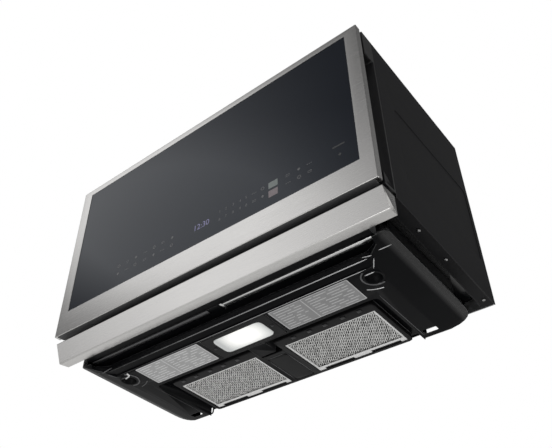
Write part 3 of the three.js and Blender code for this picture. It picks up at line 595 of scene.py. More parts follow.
@dataclass(frozen=True)
class Print(Finish):
    """Thin printed ink, with a little emission where it is lit from behind."""

    glow: float = 0.0

    def paint(self, canvas: Canvas) -> None:
        """Slight unevenness of the ink.

        Args:
            canvas: where it goes.
        """
        ink = canvas.noise(900.0, 3.0)
        tone = canvas.blend(ink, shade(self.color, 0.75), self.color)
        canvas.set(Base_Color=tone, Roughness=ink.swing(0.1) + self.roughness, Emission_Color=tone,
                   Emission_Strength=self.glow)


@dataclass(frozen=True)
class FoilLabel(Finish):
    """A blank foil plate with a faint rolled texture and a few soft creases."""

    def paint(self, canvas: Canvas) -> None:
        """Fine rolling lines, clouds and creases.

        Args:
            canvas: where it goes.
        """
        lines = canvas.noise(1.0, 3.0, canvas.stretched((40.0, 1500.0, 1500.0)))
        clouds = canvas.noise(45.0, 5.0)
        self.vary(canvas, clouds * 0.6 + lines * 0.4, (0.72, 1.2), lines.swing(0.2), Metallic=0.25)
        canvas.bump(clouds, 0.25, 0.35)


@dataclass(frozen=True)
class Windings(Finish):
    """Varnished copper windings."""

    pitch_mm: float = 1.6

    def paint(self, canvas: Canvas) -> None:
        """Fine parallel turns.

        Args:
            canvas: where it goes.
        """
        turns = (canvas.along("Z") * (FULL_TURN / self.pitch_mm)).sine() * 0.5 + 0.5
        varnish = canvas.noise(80.0, 3.0)
        self.vary(canvas, turns * 0.6 + varnish * 0.4, (0.4, 1.0), varnish * 0.2, Metallic=0.6)
        canvas.bump(turns, 0.4, 0.5)


@dataclass(frozen=True)
class CircuitBoard(Finish):
    """Solder mask with tracks under it."""

    def paint(self, canvas: Canvas) -> None:
        """Angular tracks a little lighter than the board.

        Args:
            canvas: where it goes.
        """
        tracks = canvas.read(canvas.cells(120.0, "MANHATTAN"), "Distance") > 0.55
        self.vary(canvas, tracks * 0.8, (1.0, 2.2), canvas.noise(200.0) * 0.1)
        canvas.bump(tracks, 0.05, 0.4)


@dataclass(frozen=True)
class Perforated(Finish):
    """Black screen steel with round holes in a hexagonal pattern."""

    pitch_mm: float = 2.6
    threshold: float = 0.9

    def paint(self, canvas: Canvas) -> None:
        """Holes cut by alpha, from three sets of waves.

        Args:
            canvas: where it goes.
        """
        x, z = canvas.along("X"), canvas.along("Z")
        step = 2 * FULL_TURN / (math.sqrt(3) * self.pitch_mm)
        first, second, third = (
            ((x * math.cos(a) + z * math.sin(a)) * step + FULL_TURN / 4).sine()
            for a in (math.pi / 2, math.pi / 6, -math.pi / 6))
        rust = canvas.noise(40.0)
        self.vary(canvas, rust, (0.8, 1.2), rust * 0.1,
                  Alpha=1 - (first + second + third > self.threshold))


STAINLESS = BrushedSteel("brushed_stainless", (0.71, 0.7, 0.69), 0.25)
# Bright steel laid on as a painted highlight on the vent plate's lip and in the left cup.
BRIGHT_STEEL = BrushedSteel("bright_lip_steel", (0.8, 0.8, 0.8), 0.2)
# Both powder coats carry a painted highlight along their edges, stronger on the tray's coat.
BLACK_STEEL = PowderCoat("black_powder_coat", (0.0034, 0.0036, 0.0043), 0.34, 0.9, 0.5,
                         roll_mm=16.0, roll_gloss=1.0)
SIDE_STEEL = PowderCoat("black_side_coat", (0.017, 0.017, 0.018), 0.5, 0.8, 0.25)
BEZEL_PLASTIC = MouldedPlastic("bezel_plastic", (0.008, 0.008, 0.0088), 0.3, 0.5, 0.2, 1.45)
BLACK_PLASTIC = MouldedPlastic("black_plastic", (0.0075, 0.0075, 0.0082), 0.42, 0.5, 0.3, 1.24)
WHITE_PLASTIC = MouldedPlastic("white_plastic", (0.68, 0.68, 0.66), 0.42)
DOOR_STRIP = MouldedPlastic("door_edge_plastic", (0.05, 0.05, 0.052), 0.4)
MICA = MouldedPlastic("mica_sheet", (0.36, 0.3, 0.21), 0.6, 3.0, 0.5)
CARBON = MouldedPlastic("charcoal", (0.012, 0.012, 0.012), 0.8, 3.0, 0.9)
ZINC = Galvanised("galvanised_sheet", (0.48, 0.49, 0.5), 0.38)
ALUMINIUM = BareMetal("aluminium", (0.7, 0.7, 0.7), 0.3)
MESH_ALUMINIUM = BareMetal("mesh_aluminium", (0.88, 0.88, 0.87), 0.22, 1.2, 0.8)
RIM_ALUMINIUM = BareMetal("rim_aluminium", (0.95, 0.95, 0.95), 0.35, 3.0, 0.15)
# The bead metals here sit on ridges of the black tray and carrier: their pale colour is a painted
# highlight, dimmer on the dull grey beads.
BRIGHT_BEAD = BareMetal("rubbed_bead", (0.6, 0.6, 0.61), 0.22, 6.0)
DULL_BEAD = BareMetal("dull_bead", (0.14, 0.14, 0.145), 0.3, 6.0)
SCREW_STEEL = BareMetal("screw_steel", (0.45, 0.45, 0.45), 0.3, 1.5)
BLACK_SCREW = BareMetal("black_screw", (0.06, 0.06, 0.062), 0.35, 1.5)
# Painted highlight that fades along X.
FRONT_BEAD = FadingBead("front_bead", (0.6, 0.6, 0.61), 0.24)
CAVITY_ENAMEL = Enamel("cavity_enamel", (0.3, 0.29, 0.27), 0.3)
BLACK_GLASS = PrintedGlass("black_glass", (0.0042, 0.0056, 0.0092), 0.05)
CLEAR_GLASS = ClearGlass("clear_glass", (0.86, 0.9, 0.9), 0.06)
TINTED_GLASS = ClearGlass("tinted_glass", (0.03, 0.032, 0.032), 0.06, 0.3)
LENS = LitLens("lit_lens", (0.4, 0.41, 0.41), 0.25)
COPPER = Windings("varnished_copper", (0.45, 0.18, 0.08), 0.4)
BOARD = CircuitBoard("solder_mask", (0.02, 0.1, 0.04), 0.35)
SCREEN = Perforated("perforated_screen", (0.012, 0.012, 0.013), 0.45)
KEY_PRINT = Print("grey_key_print", (0.095, 0.095, 0.1), 0.3)
FAINT_PRINT = Print("faint_print", (0.035, 0.036, 0.038), 0.3)
CLOCK_PRINT = Print("clock_glow", (0.15, 0.14, 0.26), 0.3, 0.3)
UPPER_PAD = Print("upper_pad", (0.14, 0.16, 0.155), 0.25)
LOWER_PAD = Print("lower_pad", (0.16, 0.13, 0.14), 0.25)
LABEL_RULE = Print("label_rule", (0.66, 0.66, 0.67), 0.4)
BRIGHT_RULE = Print("bright_label_rule", (0.86, 0.86, 0.87), 0.4)
RIGHT_LABEL = FoilLabel("right_label_foil", (0.31, 0.31, 0.315), 0.4)
LEFT_LABEL = FoilLabel("left_label_foil", (0.46, 0.46, 0.465), 0.4)

DRESSED: dict[Finish, str] = {
    STAINLESS: "vent_bar door_frame upper_hinge_pin lower_hinge_pin",
    BLACK_STEEL: "chassis_floor base_pan vent_plate",
    SIDE_STEEL: "left_side_panel right_side_panel top_panel",
    BEZEL_PLASTIC: "front_bezel",
    BLACK_PLASTIC: "cooling_fan top_grille filter_carrier lamp_cover door_core choke_cover "
                   "latch_hook",
    WHITE_PLASTIC: "fan_shroud latch_keeper drive_coupler roller_ring roller_1 roller_2 roller_3 "
                   "lamp_housing",
    MICA: "waveguide_cover",
    CARBON: "charcoal_filter",
    ZINC: "rear_panel waveguide turntable_motor blower_housing left_blower_wheel "
          "right_blower_wheel damper_flap left_slide right_slide left_rail_guide "
          "right_rail_guide upper_hinge_bracket lower_hinge_bracket",
    ALUMINIUM: "magnetron capacitor blower_motor left_filter_mesh right_filter_mesh",
    RIM_ALUMINIUM: "left_filter_frame right_filter_frame",
    CAVITY_ENAMEL: "cavity_liner",
    BLACK_GLASS: "door_glass",
    CLEAR_GLASS: "cavity_lamp glass_tray",
    TINTED_GLASS: "inner_window",
    LENS: "lamp_lens",
    COPPER: "transformer",
    BOARD: "power_board lamp_board touch_board",
    SCREEN: "door_screen",
}
NODE_FINISHES = {node: finish for finish, nodes in DRESSED.items() for node in nodes.split()}


# ---- Pieces ----


def facing(axis: Vector) -> Matrix:
    """The turn from the Z axis to a direction."""
    return UP.rotation_difference(axis).to_matrix().to_4x4()


def place_object(name: str, data: bpy.types.ID) -> bpy.types.Object:
    """Puts a new object in the scene.

    Args:
        name: its name.
        data: its mesh, curve, camera or lamp.

    Returns:
        The object.
    """
    made = bpy.data.objects.new(name, data)
    bpy.context.scene.collection.objects.link(made)
    return made


def add_piece(mesh: bmesh.types.BMesh, name: str, finish: Finish, body: str,
              smooth: float) -> bpy.types.Object:
    """Puts a piece of the oven in the scene.

    Args:
        mesh: its mesh, in metres; it is used up.
        name: its name.
        finish: its finish.
        body: the body it moves with.
        smooth: the angle up to which edges are shaded round, in degrees.

    Returns:
        The piece.
    """
    data = bpy.data.meshes.new(name)
    mesh.to_mesh(data)
    mesh.free()
    data.materials.append(finish.material())
    data.shade_smooth()
    data.set_sharp_from_angle(angle=math.radians(smooth))
    piece = place_object(name, data)
    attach(piece, body)
    log.info("made %s on %s", name, body)
    return piece


@dataclass(frozen=True)
class TraySlope:
    """How the tray under the cabinet lies: its heights are measured up from its underside."""

    level: float = -251.0
    slope: float = 0.0437
    start: float = -360.0

    def matrix(self) -> Matrix:
        """Carries a height above the tray's underside to the cabinet's frame."""
        lift = self.level + self.slope * self.start
        return Matrix(((1, 0, 0, 0), (0, 1, 0, 0), (0, -self.slope, 1, lift), (0, 0, 0, 1)))


class Workpiece:
    """A mesh under construction, in millimetres."""

    head_rings = ((1.0, 0.0), (1.0, 0.45), (0.86, 0.85), (0.62, 1.0))
    head_rim = 0.12
    recess_corner = 0.34
    recess_side = 0.5

    def __init__(self, name: str) -> None:
        """Starts an empty mesh."""
        self.name = name
        self.mesh = bmesh.new()

    def block(self, x: Pair, y: Pair, z: Pair, bevel: float = 0.0, segments: int = 2) -> None:
        """Adds a box with eased edges.

        Args:
            x, y, z: its limits along each axis.
            bevel: the radius of its edges, or 0.
            segments: how many faces round an edge.
        """
        size = [high - low for low, high in (x, y, z)]
        centre = [(low + high) / 2 for low, high in (x, y, z)]
        place = Matrix.Translation(centre) @ Matrix.Diagonal((*size, 1.0))
        verts = bmesh.ops.create_cube(self.mesh, size=1.0, matrix=place)["verts"]
        if bevel > 0:
            edges = list({edge for vert in verts for edge in vert.link_edges})
            bmesh.ops.bevel(self.mesh, geom=edges, offset=bevel, offset_type="OFFSET",
                            segments=segments, profile=0.5, affect="EDGES", material=-1)

    def drum(self, centre: Point, axis: Vector, length: float, radius: float,
             end: Optional[float] = None, sides: int = 10) -> None:
        """Adds a cylinder or cone that starts at a point.

        Args:
            centre: the middle of its base.
            axis: its direction.
            length: its height.
            radius: its radius at the base.
            end: its radius at the far end, or the same.
            sides: its number of sides.
        """
        middle = Vector(centre) + axis.normalized() * (length / 2)
        bmesh.ops.create_cone(self.mesh, cap_ends=True, segments=sides, radius1=radius,
                              radius2=radius if end is None else end, depth=length,
                              matrix=Matrix.Translation(middle) @ facing(axis))

    def bead(self, start: Point, end: Point, radius: float) -> None:
        """Adds a round bead whose ends run out to a point.

        Args:
            start, end: its ends.
            radius: its radius.
        """
        share, longest, tip = 0.2, 14.0, radius * 0.2
        line = Vector(end) - Vector(start)
        taper = min(line.length * share, longest)
        way = line.normalized()
        first = Vector(start) + way * taper
        body = line.length - 2 * taper
        self.drum(tuple(first), way, body, radius)
        self.drum(tuple(first), -way, taper, radius, tip)
        self.drum(tuple(first + way * body), way, taper, radius, tip)

    def screw(self, centre: Point, axis: Vector, radius: float, height: float) -> None:
        """Adds a pan head with a cross recess.

        Args:
            centre: the middle of the head's seat.
            axis: the way that the head faces.
            radius, height: the head's size.
        """
        place = Matrix.Translation(centre) @ facing(axis)
        loops = []
        for spread, rise in self.head_rings:
            shift = Matrix.Translation((0, 0, rise * height))
            ring = bmesh.ops.create_circle(self.mesh, cap_ends=False, segments=16,
                                           radius=radius * spread, matrix=place @ shift)["verts"]
            loops.append(list({edge for vert in ring for edge in vert.link_edges}))
        for lower, upper in zip(loops, loops[1:]):
            bmesh.ops.bridge_loops(self.mesh, edges=lower + upper)
        bmesh.ops.contextual_create(self.mesh, geom=loops[0])
        top = bmesh.ops.contextual_create(self.mesh, geom=loops[-1])["faces"]
        bmesh.ops.inset_region(self.mesh, faces=top, thickness=radius * self.head_rim, depth=0.0)
        middle = top[0].calc_center_median()
        for index, vert in enumerate(top[0].verts):
            if index % 4:
                pull = self.recess_corner if index % 4 == 2 else self.recess_side
                vert.co = middle.lerp(vert.co, pull)
        floor = bmesh.ops.extrude_face_region(self.mesh, geom=[top[0]])["geom"]
        moved = [item for item in floor if isinstance(item, bmesh.types.BMVert)]
        bmesh.ops.translate(self.mesh, verts=moved, vec=-axis.normalized() * height * 0.5)

    def arc(self, centre: Point, start: float, radius: float, thickness: float, sweep: float,
            steps: int) -> None:
        """Adds a round ridge bent about a vertical axis.

        Args:
            centre: the middle of the bend.
            start: the angle where it starts, in degrees from +X.
            radius: the bend's radius.
            thickness: the ridge's own radius.
            sweep: the angle that it covers, in degrees.
            steps: how many lengths it has.
        """
        angle = math.radians(start)
        outward = Vector((math.cos(angle), math.sin(angle), 0))
        place = Matrix.Translation(Vector(centre) + outward * radius)
        ring = bmesh.ops.create_circle(
            self.mesh, cap_ends=True, segments=8, radius=thickness,
            matrix=place @ facing(Vector((-outward.y, outward.x, 0))))["verts"]
        bmesh.ops.spin(self.mesh, geom=[ring[0].link_faces[0]], cent=centre, axis=UP,
                       dvec=(0, 0, 0), angle=math.radians(sweep), steps=steps, use_merge=False,
                       use_duplicate=False)

    def words(self, text: str, size: float, centre: Pair, depth: float) -> None:
        """Adds plain figures that face forward, flat on the plane y = 0.

        Args:
            text: the figures.
            size: their height.
            centre: their middle in X and Z.
            depth: their thickness.
        """
        height_to_size = 1.38
        curve = bpy.data.curves.new(self.name + "_figures", "FONT")
        curve.body = text
        curve.size = size * height_to_size
        curve.align_x, curve.align_y = "CENTER", "CENTER"
        curve.extrude = depth / 2
        curve.resolution_u = 3
        holder = place_object(curve.name, curve)
        seen = holder.evaluated_get(bpy.context.evaluated_depsgraph_get())
        flat = bpy.data.meshes.new_from_object(seen)
        place = Matrix.Translation((centre[0], -depth / 2, centre[1]))
        flat.transform(place @ Matrix.Rotation(math.pi / 2, 4, "X"))
        self.mesh.from_mesh(flat)
        bpy.data.objects.remove(holder)
        bpy.data.curves.remove(curve)
        bpy.data.meshes.remove(flat)

    def move_back(self, y: float) -> None:
        """Moves all that has been made so far along Y."""
        bmesh.ops.translate(self.mesh, verts=self.mesh.verts[:], vec=(0, y, 0))

    def finish(self, finish: Finish, body: str, slot: str, slope: bool = False,
               smooth: float = 32.0) -> bpy.types.Object:
        """Turns the mesh into a piece of the oven.

        Args:
            finish: its finish.
            body: the body it moves with.
            slot: the record's material slot it belongs to; not used.
            slope: whether it was made flat and lies on the tray's slope.
            smooth: the angle up to which edges are shaded round, in degrees.

        Returns:
            The piece.
        """
        verts = self.mesh.verts[:]
        if slope:
            bmesh.ops.transform(self.mesh, matrix=TraySlope().matrix(), verts=verts)
        bmesh.ops.scale(self.mesh, vec=(MM, MM, MM), verts=verts)
        bmesh.ops.recalc_face_normals(self.mesh, faces=self.mesh.faces[:])
        return add_piece(self.mesh, self.name, finish, body, smooth)


# ---- Door ----


class Symbol(Enum):
    """What a key without a number shows."""

    RING = 0
    BARS = 1
    LOZENGE = 2
    DOTS = 3


@dataclass
class Door:
    """Key marks, clock and touch pads on the door's glass, and the strip under it."""

    glass_y: float = -409.2
    ink: float = 0.12
    rows: Pair = (-80.0, -98.0)
    plain_keys: Sequence[float] = (-209, -184, -160, -134, -109, -86, -61, 139, 158, 213, 236, 258)
    number_keys: Sequence[float] = (59, 74, 91, 107, 121)
    number_size: float = 6.5
    ring_radius: float = 3.2
    ring_dot: float = 0.75
    bar: Pair = (4.5, 0.5)
    bar_gap: float = 1.8
    lozenge: float = 3.4
    dot: float = 1.1
    dot_gap: float = 4.0
    far_mark: Pair = (317.0, -75.0)
    far_bar: Pair = (12.0, 1.6)
    far_lozenge: Pair = (318.0, -96.0)
    clock_place: Pair = (14.0, -89.0)
    clock_size: float = 13.0
    pad_x: Pair = (171.0, 191.0)
    pads_z: Sequence[tuple[str, Finish, Pair]] = (
        ("upper", UPPER_PAD, (-89.0, -75.0)), ("lower", LOWER_PAD, (-109.0, -94.0)))
    strip: Box = ((-372.0, 372.0), (-408.6, -392.5), (-181.9, -181.05))
    strip_edge: float = 0.3
    body: str = "door"
    print_slot: str = "white_plastic"

    def build(self) -> None:
        """Makes all the marks."""
        self.key_marks()
        self.figures()
        self.clock()
        self.pads()
        self.lower_strip()

    def key_marks(self) -> None:
        """Rings, bars and dots for the keys that carry no number, and the faint far marks."""
        marks = Workpiece("door_key_marks")
        for index, x in enumerate(self.plain_keys):
            for row, z in enumerate(self.rows):
                self.symbol(marks, Symbol((index + 2 * row) % len(Symbol)), x, z)
        marks.finish(KEY_PRINT, self.body, self.print_slot)
        far = Workpiece("door_far_marks")
        self.stamp(far, *self.far_mark, *self.far_bar)
        self.symbol(far, Symbol.LOZENGE, *self.far_lozenge)
        far.finish(FAINT_PRINT, self.body, self.print_slot)

    def stamp(self, marks: Workpiece, x: float, z: float, half_wide: float,
              half_high: float) -> None:
        """Adds one printed rectangle.

        Args:
            marks: the piece it goes on.
            x, z: its middle.
            half_wide, half_high: half its width and height.
        """
        marks.block((x - half_wide, x + half_wide), (self.glass_y - self.ink, self.glass_y),
                    (z - half_high, z + half_high))

    def symbol(self, marks: Workpiece, kind: Symbol, x: float, z: float) -> None:
        """Adds one plain symbol.

        Args:
            marks: the piece it goes on.
            kind: which symbol.
            x, z: its middle.
        """
        if kind is Symbol.RING:
            for angle in range(0, 360, 30):
                a = math.radians(angle)
                self.stamp(marks, x + self.ring_radius * math.cos(a),
                           z + self.ring_radius * math.sin(a), self.ring_dot, self.ring_dot)
        elif kind is Symbol.BARS:
            for dz in (-self.bar_gap, self.bar_gap):
                self.stamp(marks, x, z + dz, *self.bar)
        elif kind is Symbol.LOZENGE:
            marks.drum((x, self.glass_y, z), FORWARD, self.ink, self.lozenge, sides=4)
        else:
            for dx in (-self.dot_gap, 0, self.dot_gap):
                marks.drum((x + dx, self.glass_y, z), FORWARD, self.ink, self.dot)

    def figures(self) -> None:
        """The plain numbers 1 to 9 and 0."""
        figures = Workpiece("door_key_numbers")
        for row, z in enumerate(self.rows):
            for index, x in enumerate(self.number_keys):
                number = (len(self.number_keys) * row + index + 1) % 10
                figures.words(str(number), self.number_size, (x, z), self.ink)
        figures.move_back(self.glass_y)
        figures.finish(KEY_PRINT, self.body, self.print_slot)

    def clock(self) -> None:
        """The lit clock."""
        clock = Workpiece("door_clock_figures")
        clock.words("12:30", self.clock_size, self.clock_place, self.ink)
        clock.move_back(self.glass_y)
        clock.finish(CLOCK_PRINT, self.body, self.print_slot)

    def pads(self) -> None:
        """The two pale touch pads, one above the other."""
        for name, finish, z in self.pads_z:
            pad = Workpiece(f"door_{name}_pad")
            pad.block(self.pad_x, (self.glass_y - self.ink, self.glass_y), z)
            pad.finish(finish, self.body, self.print_slot)

    def lower_strip(self) -> None:
        """The plastic strip along the door's lower edge."""
        strip = Workpiece("door_lower_strip")
        strip.block(*self.strip, self.strip_edge)
        strip.finish(DOOR_STRIP, self.body, "black_plastic")


# ---- Slide-out vent ----


@dataclass
class VentDrawer:
    """A painted highlight along the rear bead of the vent plate: bright steel on its right length
    and turned end, dim grey on its left length.
    """

    y: Pair = (-349.5, -339.5)
    z: Pair = (-231.4, -229.6)
    right: Pair = (18.5, 324.0)
    left: Pair = (-324.0, -17.0)
    turned: Box = ((14.0, 19.0), (-352.5, -334.5), (-232.2, -229.6))
    edge: float = 0.8
    body: str = "vent_drawer"

    def build(self) -> None:
        """Makes the lip's two lengths and the turned end."""
        # Lit and shaded copies of one lip: bright painted highlight on the right, dim painted
        # sheen on the left.
        for name, place, finish, slot in (
                ("right", (self.right, self.y, self.z), BRIGHT_STEEL, "stainless"),
                ("left", (self.left, self.y, self.z), DULL_BEAD, "black_steel"),
                ("end", self.turned, BRIGHT_STEEL, "stainless")):
            lip = Workpiece(f"vent_lip_{name}")
            lip.block(*place, self.edge, 3)
            lip.finish(finish, self.body, slot)


# ---- Tray ----


class Side(IntEnum):
    """A side of the underside, by its sign along X."""

    LEFT = -1
    RIGHT = 1


def raise_beads(name: str, finish: Finish, runs: Sequence[Run], slot: str = "black_steel") -> None:
    """Makes one piece of fine raised beads on the tray.

    Args:
        name: the piece's name.
        finish: its finish.
        runs: each bead's start, end and radius.
        slot: the record's material slot it belongs to.
    """
    beads = Workpiece(name)
    for start, end, radius in runs:
        beads.bead(start, end, radius)
    beads.finish(finish, "cabinet", slot, slope=True, smooth=60.0)


@dataclass(frozen=True)
class MeshSheet:
    """One sheet of expanded aluminium.

    Args:
        level: its height above the tray's underside.
        spread: its cells' size against the usual.
        turn: how far the cells lean, in degrees.
        strand: half a strand's share of a cell.
    """

    level: float
    spread: float
    turn: float
    strand: float
    cell: Pair = (4.1, 20.0)
    crinkle: float = 0.6
    spare: float = 1.45

    def weave(self, lattice: Workpiece, x: Pair, y: Pair, rng: random.Random) -> None:
        """Adds the sheet to a piece.

        Args:
            lattice: the piece.
            x, y: its limits.
            rng: where the crinkle comes from.
        """
        wide, high = x[1] - x[0], y[1] - y[0]
        across, along = self.cell[0] * self.spread, self.cell[1] * self.spread
        pitch = across / math.sqrt(2)
        count = math.ceil(math.hypot(wide, high) * self.spare / across)
        grid = bmesh.new()
        bmesh.ops.create_grid(grid, x_segments=count, y_segments=count, size=count * pitch / 2)
        faces = grid.faces[:]
        bmesh.ops.inset_individual(grid, faces=faces, thickness=pitch * self.strand, depth=0.0)
        bmesh.ops.delete(grid, geom=faces, context="FACES_ONLY")
        lean = Matrix.Rotation(math.radians(self.turn), 4, "Z")
        stretch = Matrix.Diagonal((1, along / across, 1, 1))
        place = lean @ stretch @ Matrix.Rotation(math.pi / 4, 4, "Z")
        bmesh.ops.transform(grid, matrix=place, verts=grid.verts[:])
        for axis, limit in (((1, 0, 0), wide / 2), ((-1, 0, 0), wide / 2), ((0, 1, 0), high / 2),
                            ((0, -1, 0), high / 2)):
            bmesh.ops.bisect_plane(grid, geom=grid.verts[:] + grid.edges[:] + grid.faces[:],
                                   plane_co=Vector(axis) * limit, plane_no=axis, clear_outer=True)
        for vert in grid.verts:
            vert.co.z += rng.uniform(-self.crinkle, self.crinkle)
        middle = ((x[0] + x[1]) / 2, (y[0] + y[1]) / 2, self.level)
        bmesh.ops.translate(grid, verts=grid.verts[:], vec=middle)
        layer = bpy.data.meshes.new("layer")
        grid.to_mesh(layer)
        grid.free()
        lattice.mesh.from_mesh(layer)
        bpy.data.meshes.remove(layer)


@dataclass(frozen=True)
class TraySide:
    """One side of the underside: its label plate, beads, filter's mesh and lips, and catches."""

    side: Side
    label_finish: Finish
    rule_finish: Finish
    corner_finish: Finish
    bay_finish: Finish
    ring_start: float
    ridge_start: float
    label_x: Pair = (84.0, 246.0)
    label_y: Pair = (-304.0, -240.0)
    label_z: Pair = (-0.35, 0.0)
    rule_z: Pair = (-0.45, -0.3)
    rule: float = 1.6
    field_share: float = 0.42
    rows: int = 9
    margin: float = 7.0
    shortest: float = 6.0
    dash: Pair = (8, 34)
    dash_gap: Pair = (2, 14)
    dash_half: float = 0.9
    label_seed: int = 21
    cup: Pair = (287.0, -284.0)
    ridge_level: float = 0.2
    ridge_shift: Pair = (4.0, 21.0)
    ring: Bend = (22.0, 1.8, 171.0, 24)
    ridge: Bend = (56.0, 1.2, 30.0, 12)
    corner_runs: Sequence[Run] = (
        ((322.2, -328.4, 7.9), (342.2, -320.5, 14.7), 1.1),
        ((289, -326.8, 9.0), (311, -331.6, 1.0), 1.1),
        ((275, -296.0, -1.2), (294, -296.0, -1.2), 1.1),
        ((308.3, -320.5, 3.3), (296.5, -302.1, 0.1), 1.1))
    bay_runs: Sequence[Run] = (
        ((265.5, -236, 0.1), (265.5, -78, 0.1), 0.55),
        ((239.6, -212, 15.0), (239.6, -80, 15.0), 0.55))
    filter_x: Pair = (39.6, 225.0)
    filter_y: Pair = (-186.4, -82.6)
    sheets: Sequence[MeshSheet] = (
        MeshSheet(9.4, 1.0, 31.0, 0.19), MeshSheet(11.4, 0.72, 34.0, 0.14))
    foil: float = 0.4
    mesh_seed: int = 7
    lip_x: Pair = (35.1, 229.5)
    lip: tuple[Pair, Pair] = ((-86.0, -79.8), (7.7, 8.6))
    tab: tuple[Pair, Pair] = ((-81.0, -74.2), (7.4, 8.5))
    tab_widths: tuple[float, Pair, float] = (15.0, (16.0, 22.0), 12.0)
    lip_edge: float = 0.4
    strip: tuple[Pair, Pair] = ((-79.6, -74.1), (7.9, 8.5))
    strip_gap: float = 0.5
    strip_edge: float = 0.3
    catches: Sequence[float] = (67.0, 103.0, 137.0, 175.0, 209.0)
    catch_half: float = 4.5
    catch: tuple[Pair, Pair] = ((-210.5, -203.5), (4.6, 6.8))
    catch_edge: float = 0.7
    body: str = "cabinet"

    def build(self) -> None:
        """Makes every piece of this side."""
        self.label()
        self.cup_ridges()
        # The corner and bay beads' colours are painted highlights, brighter on the right side.
        for name, finish, runs in (("corner_beads", self.corner_finish, self.corner_runs),
                                   ("bay_beads", self.bay_finish, self.bay_runs)):
            raise_beads(self.named(name), finish, self.mirrored(runs))
        self.mesh()
        self.filter_lip()
        self.catch_row()

    def named(self, name: str) -> str:
        """A name with the side before it."""
        return f"{self.side.name.lower()}_{name}"

    def span(self, limits: Pair) -> Pair:
        """Limits along X, mirrored for the left side."""
        low, high = sorted(self.side * value for value in limits)
        return low, high

    def mirrored(self, runs: Sequence[Run]) -> list[Run]:
        """Runs of beads, mirrored for the left side."""
        return [((self.side * a[0], *a[1:]), (self.side * b[0], *b[1:]), r) for a, b, r in runs]

    def label(self) -> None:
        """A blank foil plate, ruled into two fields of plain lines."""
        x0, x1 = self.span(self.label_x)
        y0, y1 = self.label_y
        plate = Workpiece(self.named("label_plate"))
        plate.block((x0, x1), (y0, y1), self.label_z)
        plate.finish(self.label_finish, self.body, "aluminium", slope=True)
        rules = Workpiece(self.named("label_rules"))
        middle = x0 + (x1 - x0) * self.field_share
        whole, half = (y0, y1), self.rule / 2
        frame = [((x0, x1), (y0, y0 + self.rule)), ((x0, x1), (y1 - self.rule, y1)),
                 ((x0, x0 + self.rule), whole), ((x1 - self.rule, x1), whole),
                 ((middle - half, middle + half), whole)]
        rng = random.Random(self.label_seed + self.side)
        for row in range(1, self.rows):
            y = y0 + (y1 - y0) * row / self.rows
            for start, end in ((x0 + self.margin, middle - self.margin),
                               (middle + self.margin, x1 - self.margin)):
                while start < end - self.shortest:
                    stop = min(end, start + rng.uniform(*self.dash))
                    frame.append(((start, stop), (y - self.dash_half, y + self.dash_half)))
                    start = stop + rng.uniform(*self.dash_gap)
        for x, y in frame:
            rules.block(x, y, self.rule_z)
        rules.finish(self.rule_finish, self.body, "aluminium", slope=True)

    def cup_ridges(self) -> None:
        """Two curved ridges pressed behind the corner cup, coloured as painted highlights."""
        x, y = self.side * self.cup[0], self.cup[1]
        out, front = self.ridge_shift
        for name, place, start, bend, finish in (
                ("cup_ring", (x, y), self.ring_start, self.ring, DULL_BEAD),
                ("cup_ridge", (x + self.side * out, y - front), self.ridge_start, self.ridge,
                 self.corner_finish)):
            piece = Workpiece(self.named(name))
            piece.arc((*place, self.ridge_level), start, *bend)
            piece.finish(finish, self.body, "black_steel", slope=True, smooth=60.0)

    def mesh(self) -> None:
        """Two layers of expanded aluminium mesh in the filter's frame."""
        rng = random.Random(self.mesh_seed + self.side)
        lattice = Workpiece(self.named("expanded_mesh"))
        for sheet in self.sheets:
            sheet.weave(lattice, self.span(self.filter_x), self.filter_y, rng)
        piece = lattice.finish(MESH_ALUMINIUM, self.named("filter"), "aluminium", slope=True,
                               smooth=20.0)
        piece.modifiers.new("foil", "SOLIDIFY").thickness = self.foil * MM
        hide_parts(self.named("filter_mesh"))

    def filter_lip(self) -> None:
        """The filter's bright rear lip with its three tabs, and the dark strips between them."""
        x0, x1 = self.span(self.lip_x)
        middle = (x0 + x1) / 2
        first, (before, after), last = self.tab_widths
        tabs = ((x0, x0 + first), (middle - before, middle + after), (x1 - last, x1))
        lip = Workpiece(self.named("filter_lip"))
        lip.block((x0, x1), *self.lip, self.lip_edge)
        for tab in tabs:
            lip.block(tab, *self.tab, self.lip_edge)
        lip.finish(RIM_ALUMINIUM, self.named("filter"), "aluminium", slope=True)
        strips = Workpiece(self.named("filter_rear_strips"))
        for (_, low), (high, _) in zip(tabs, tabs[1:]):
            strips.block((low + self.strip_gap, high - self.strip_gap), *self.strip,
                         self.strip_edge)
        strips.finish(BLACK_PLASTIC, self.named("filter"), "aluminium", slope=True)

    def catch_row(self) -> None:
        """Small catches along the front edge of the filter carrier."""
        catches = Workpiece(self.named("carrier_catches"))
        for x in self.catches:
            middle = self.side * x
            catches.block((middle - self.catch_half, middle + self.catch_half), *self.catch,
                          self.catch_edge)
        catches.finish(BLACK_SCREW, self.body, "black_plastic", slope=True)


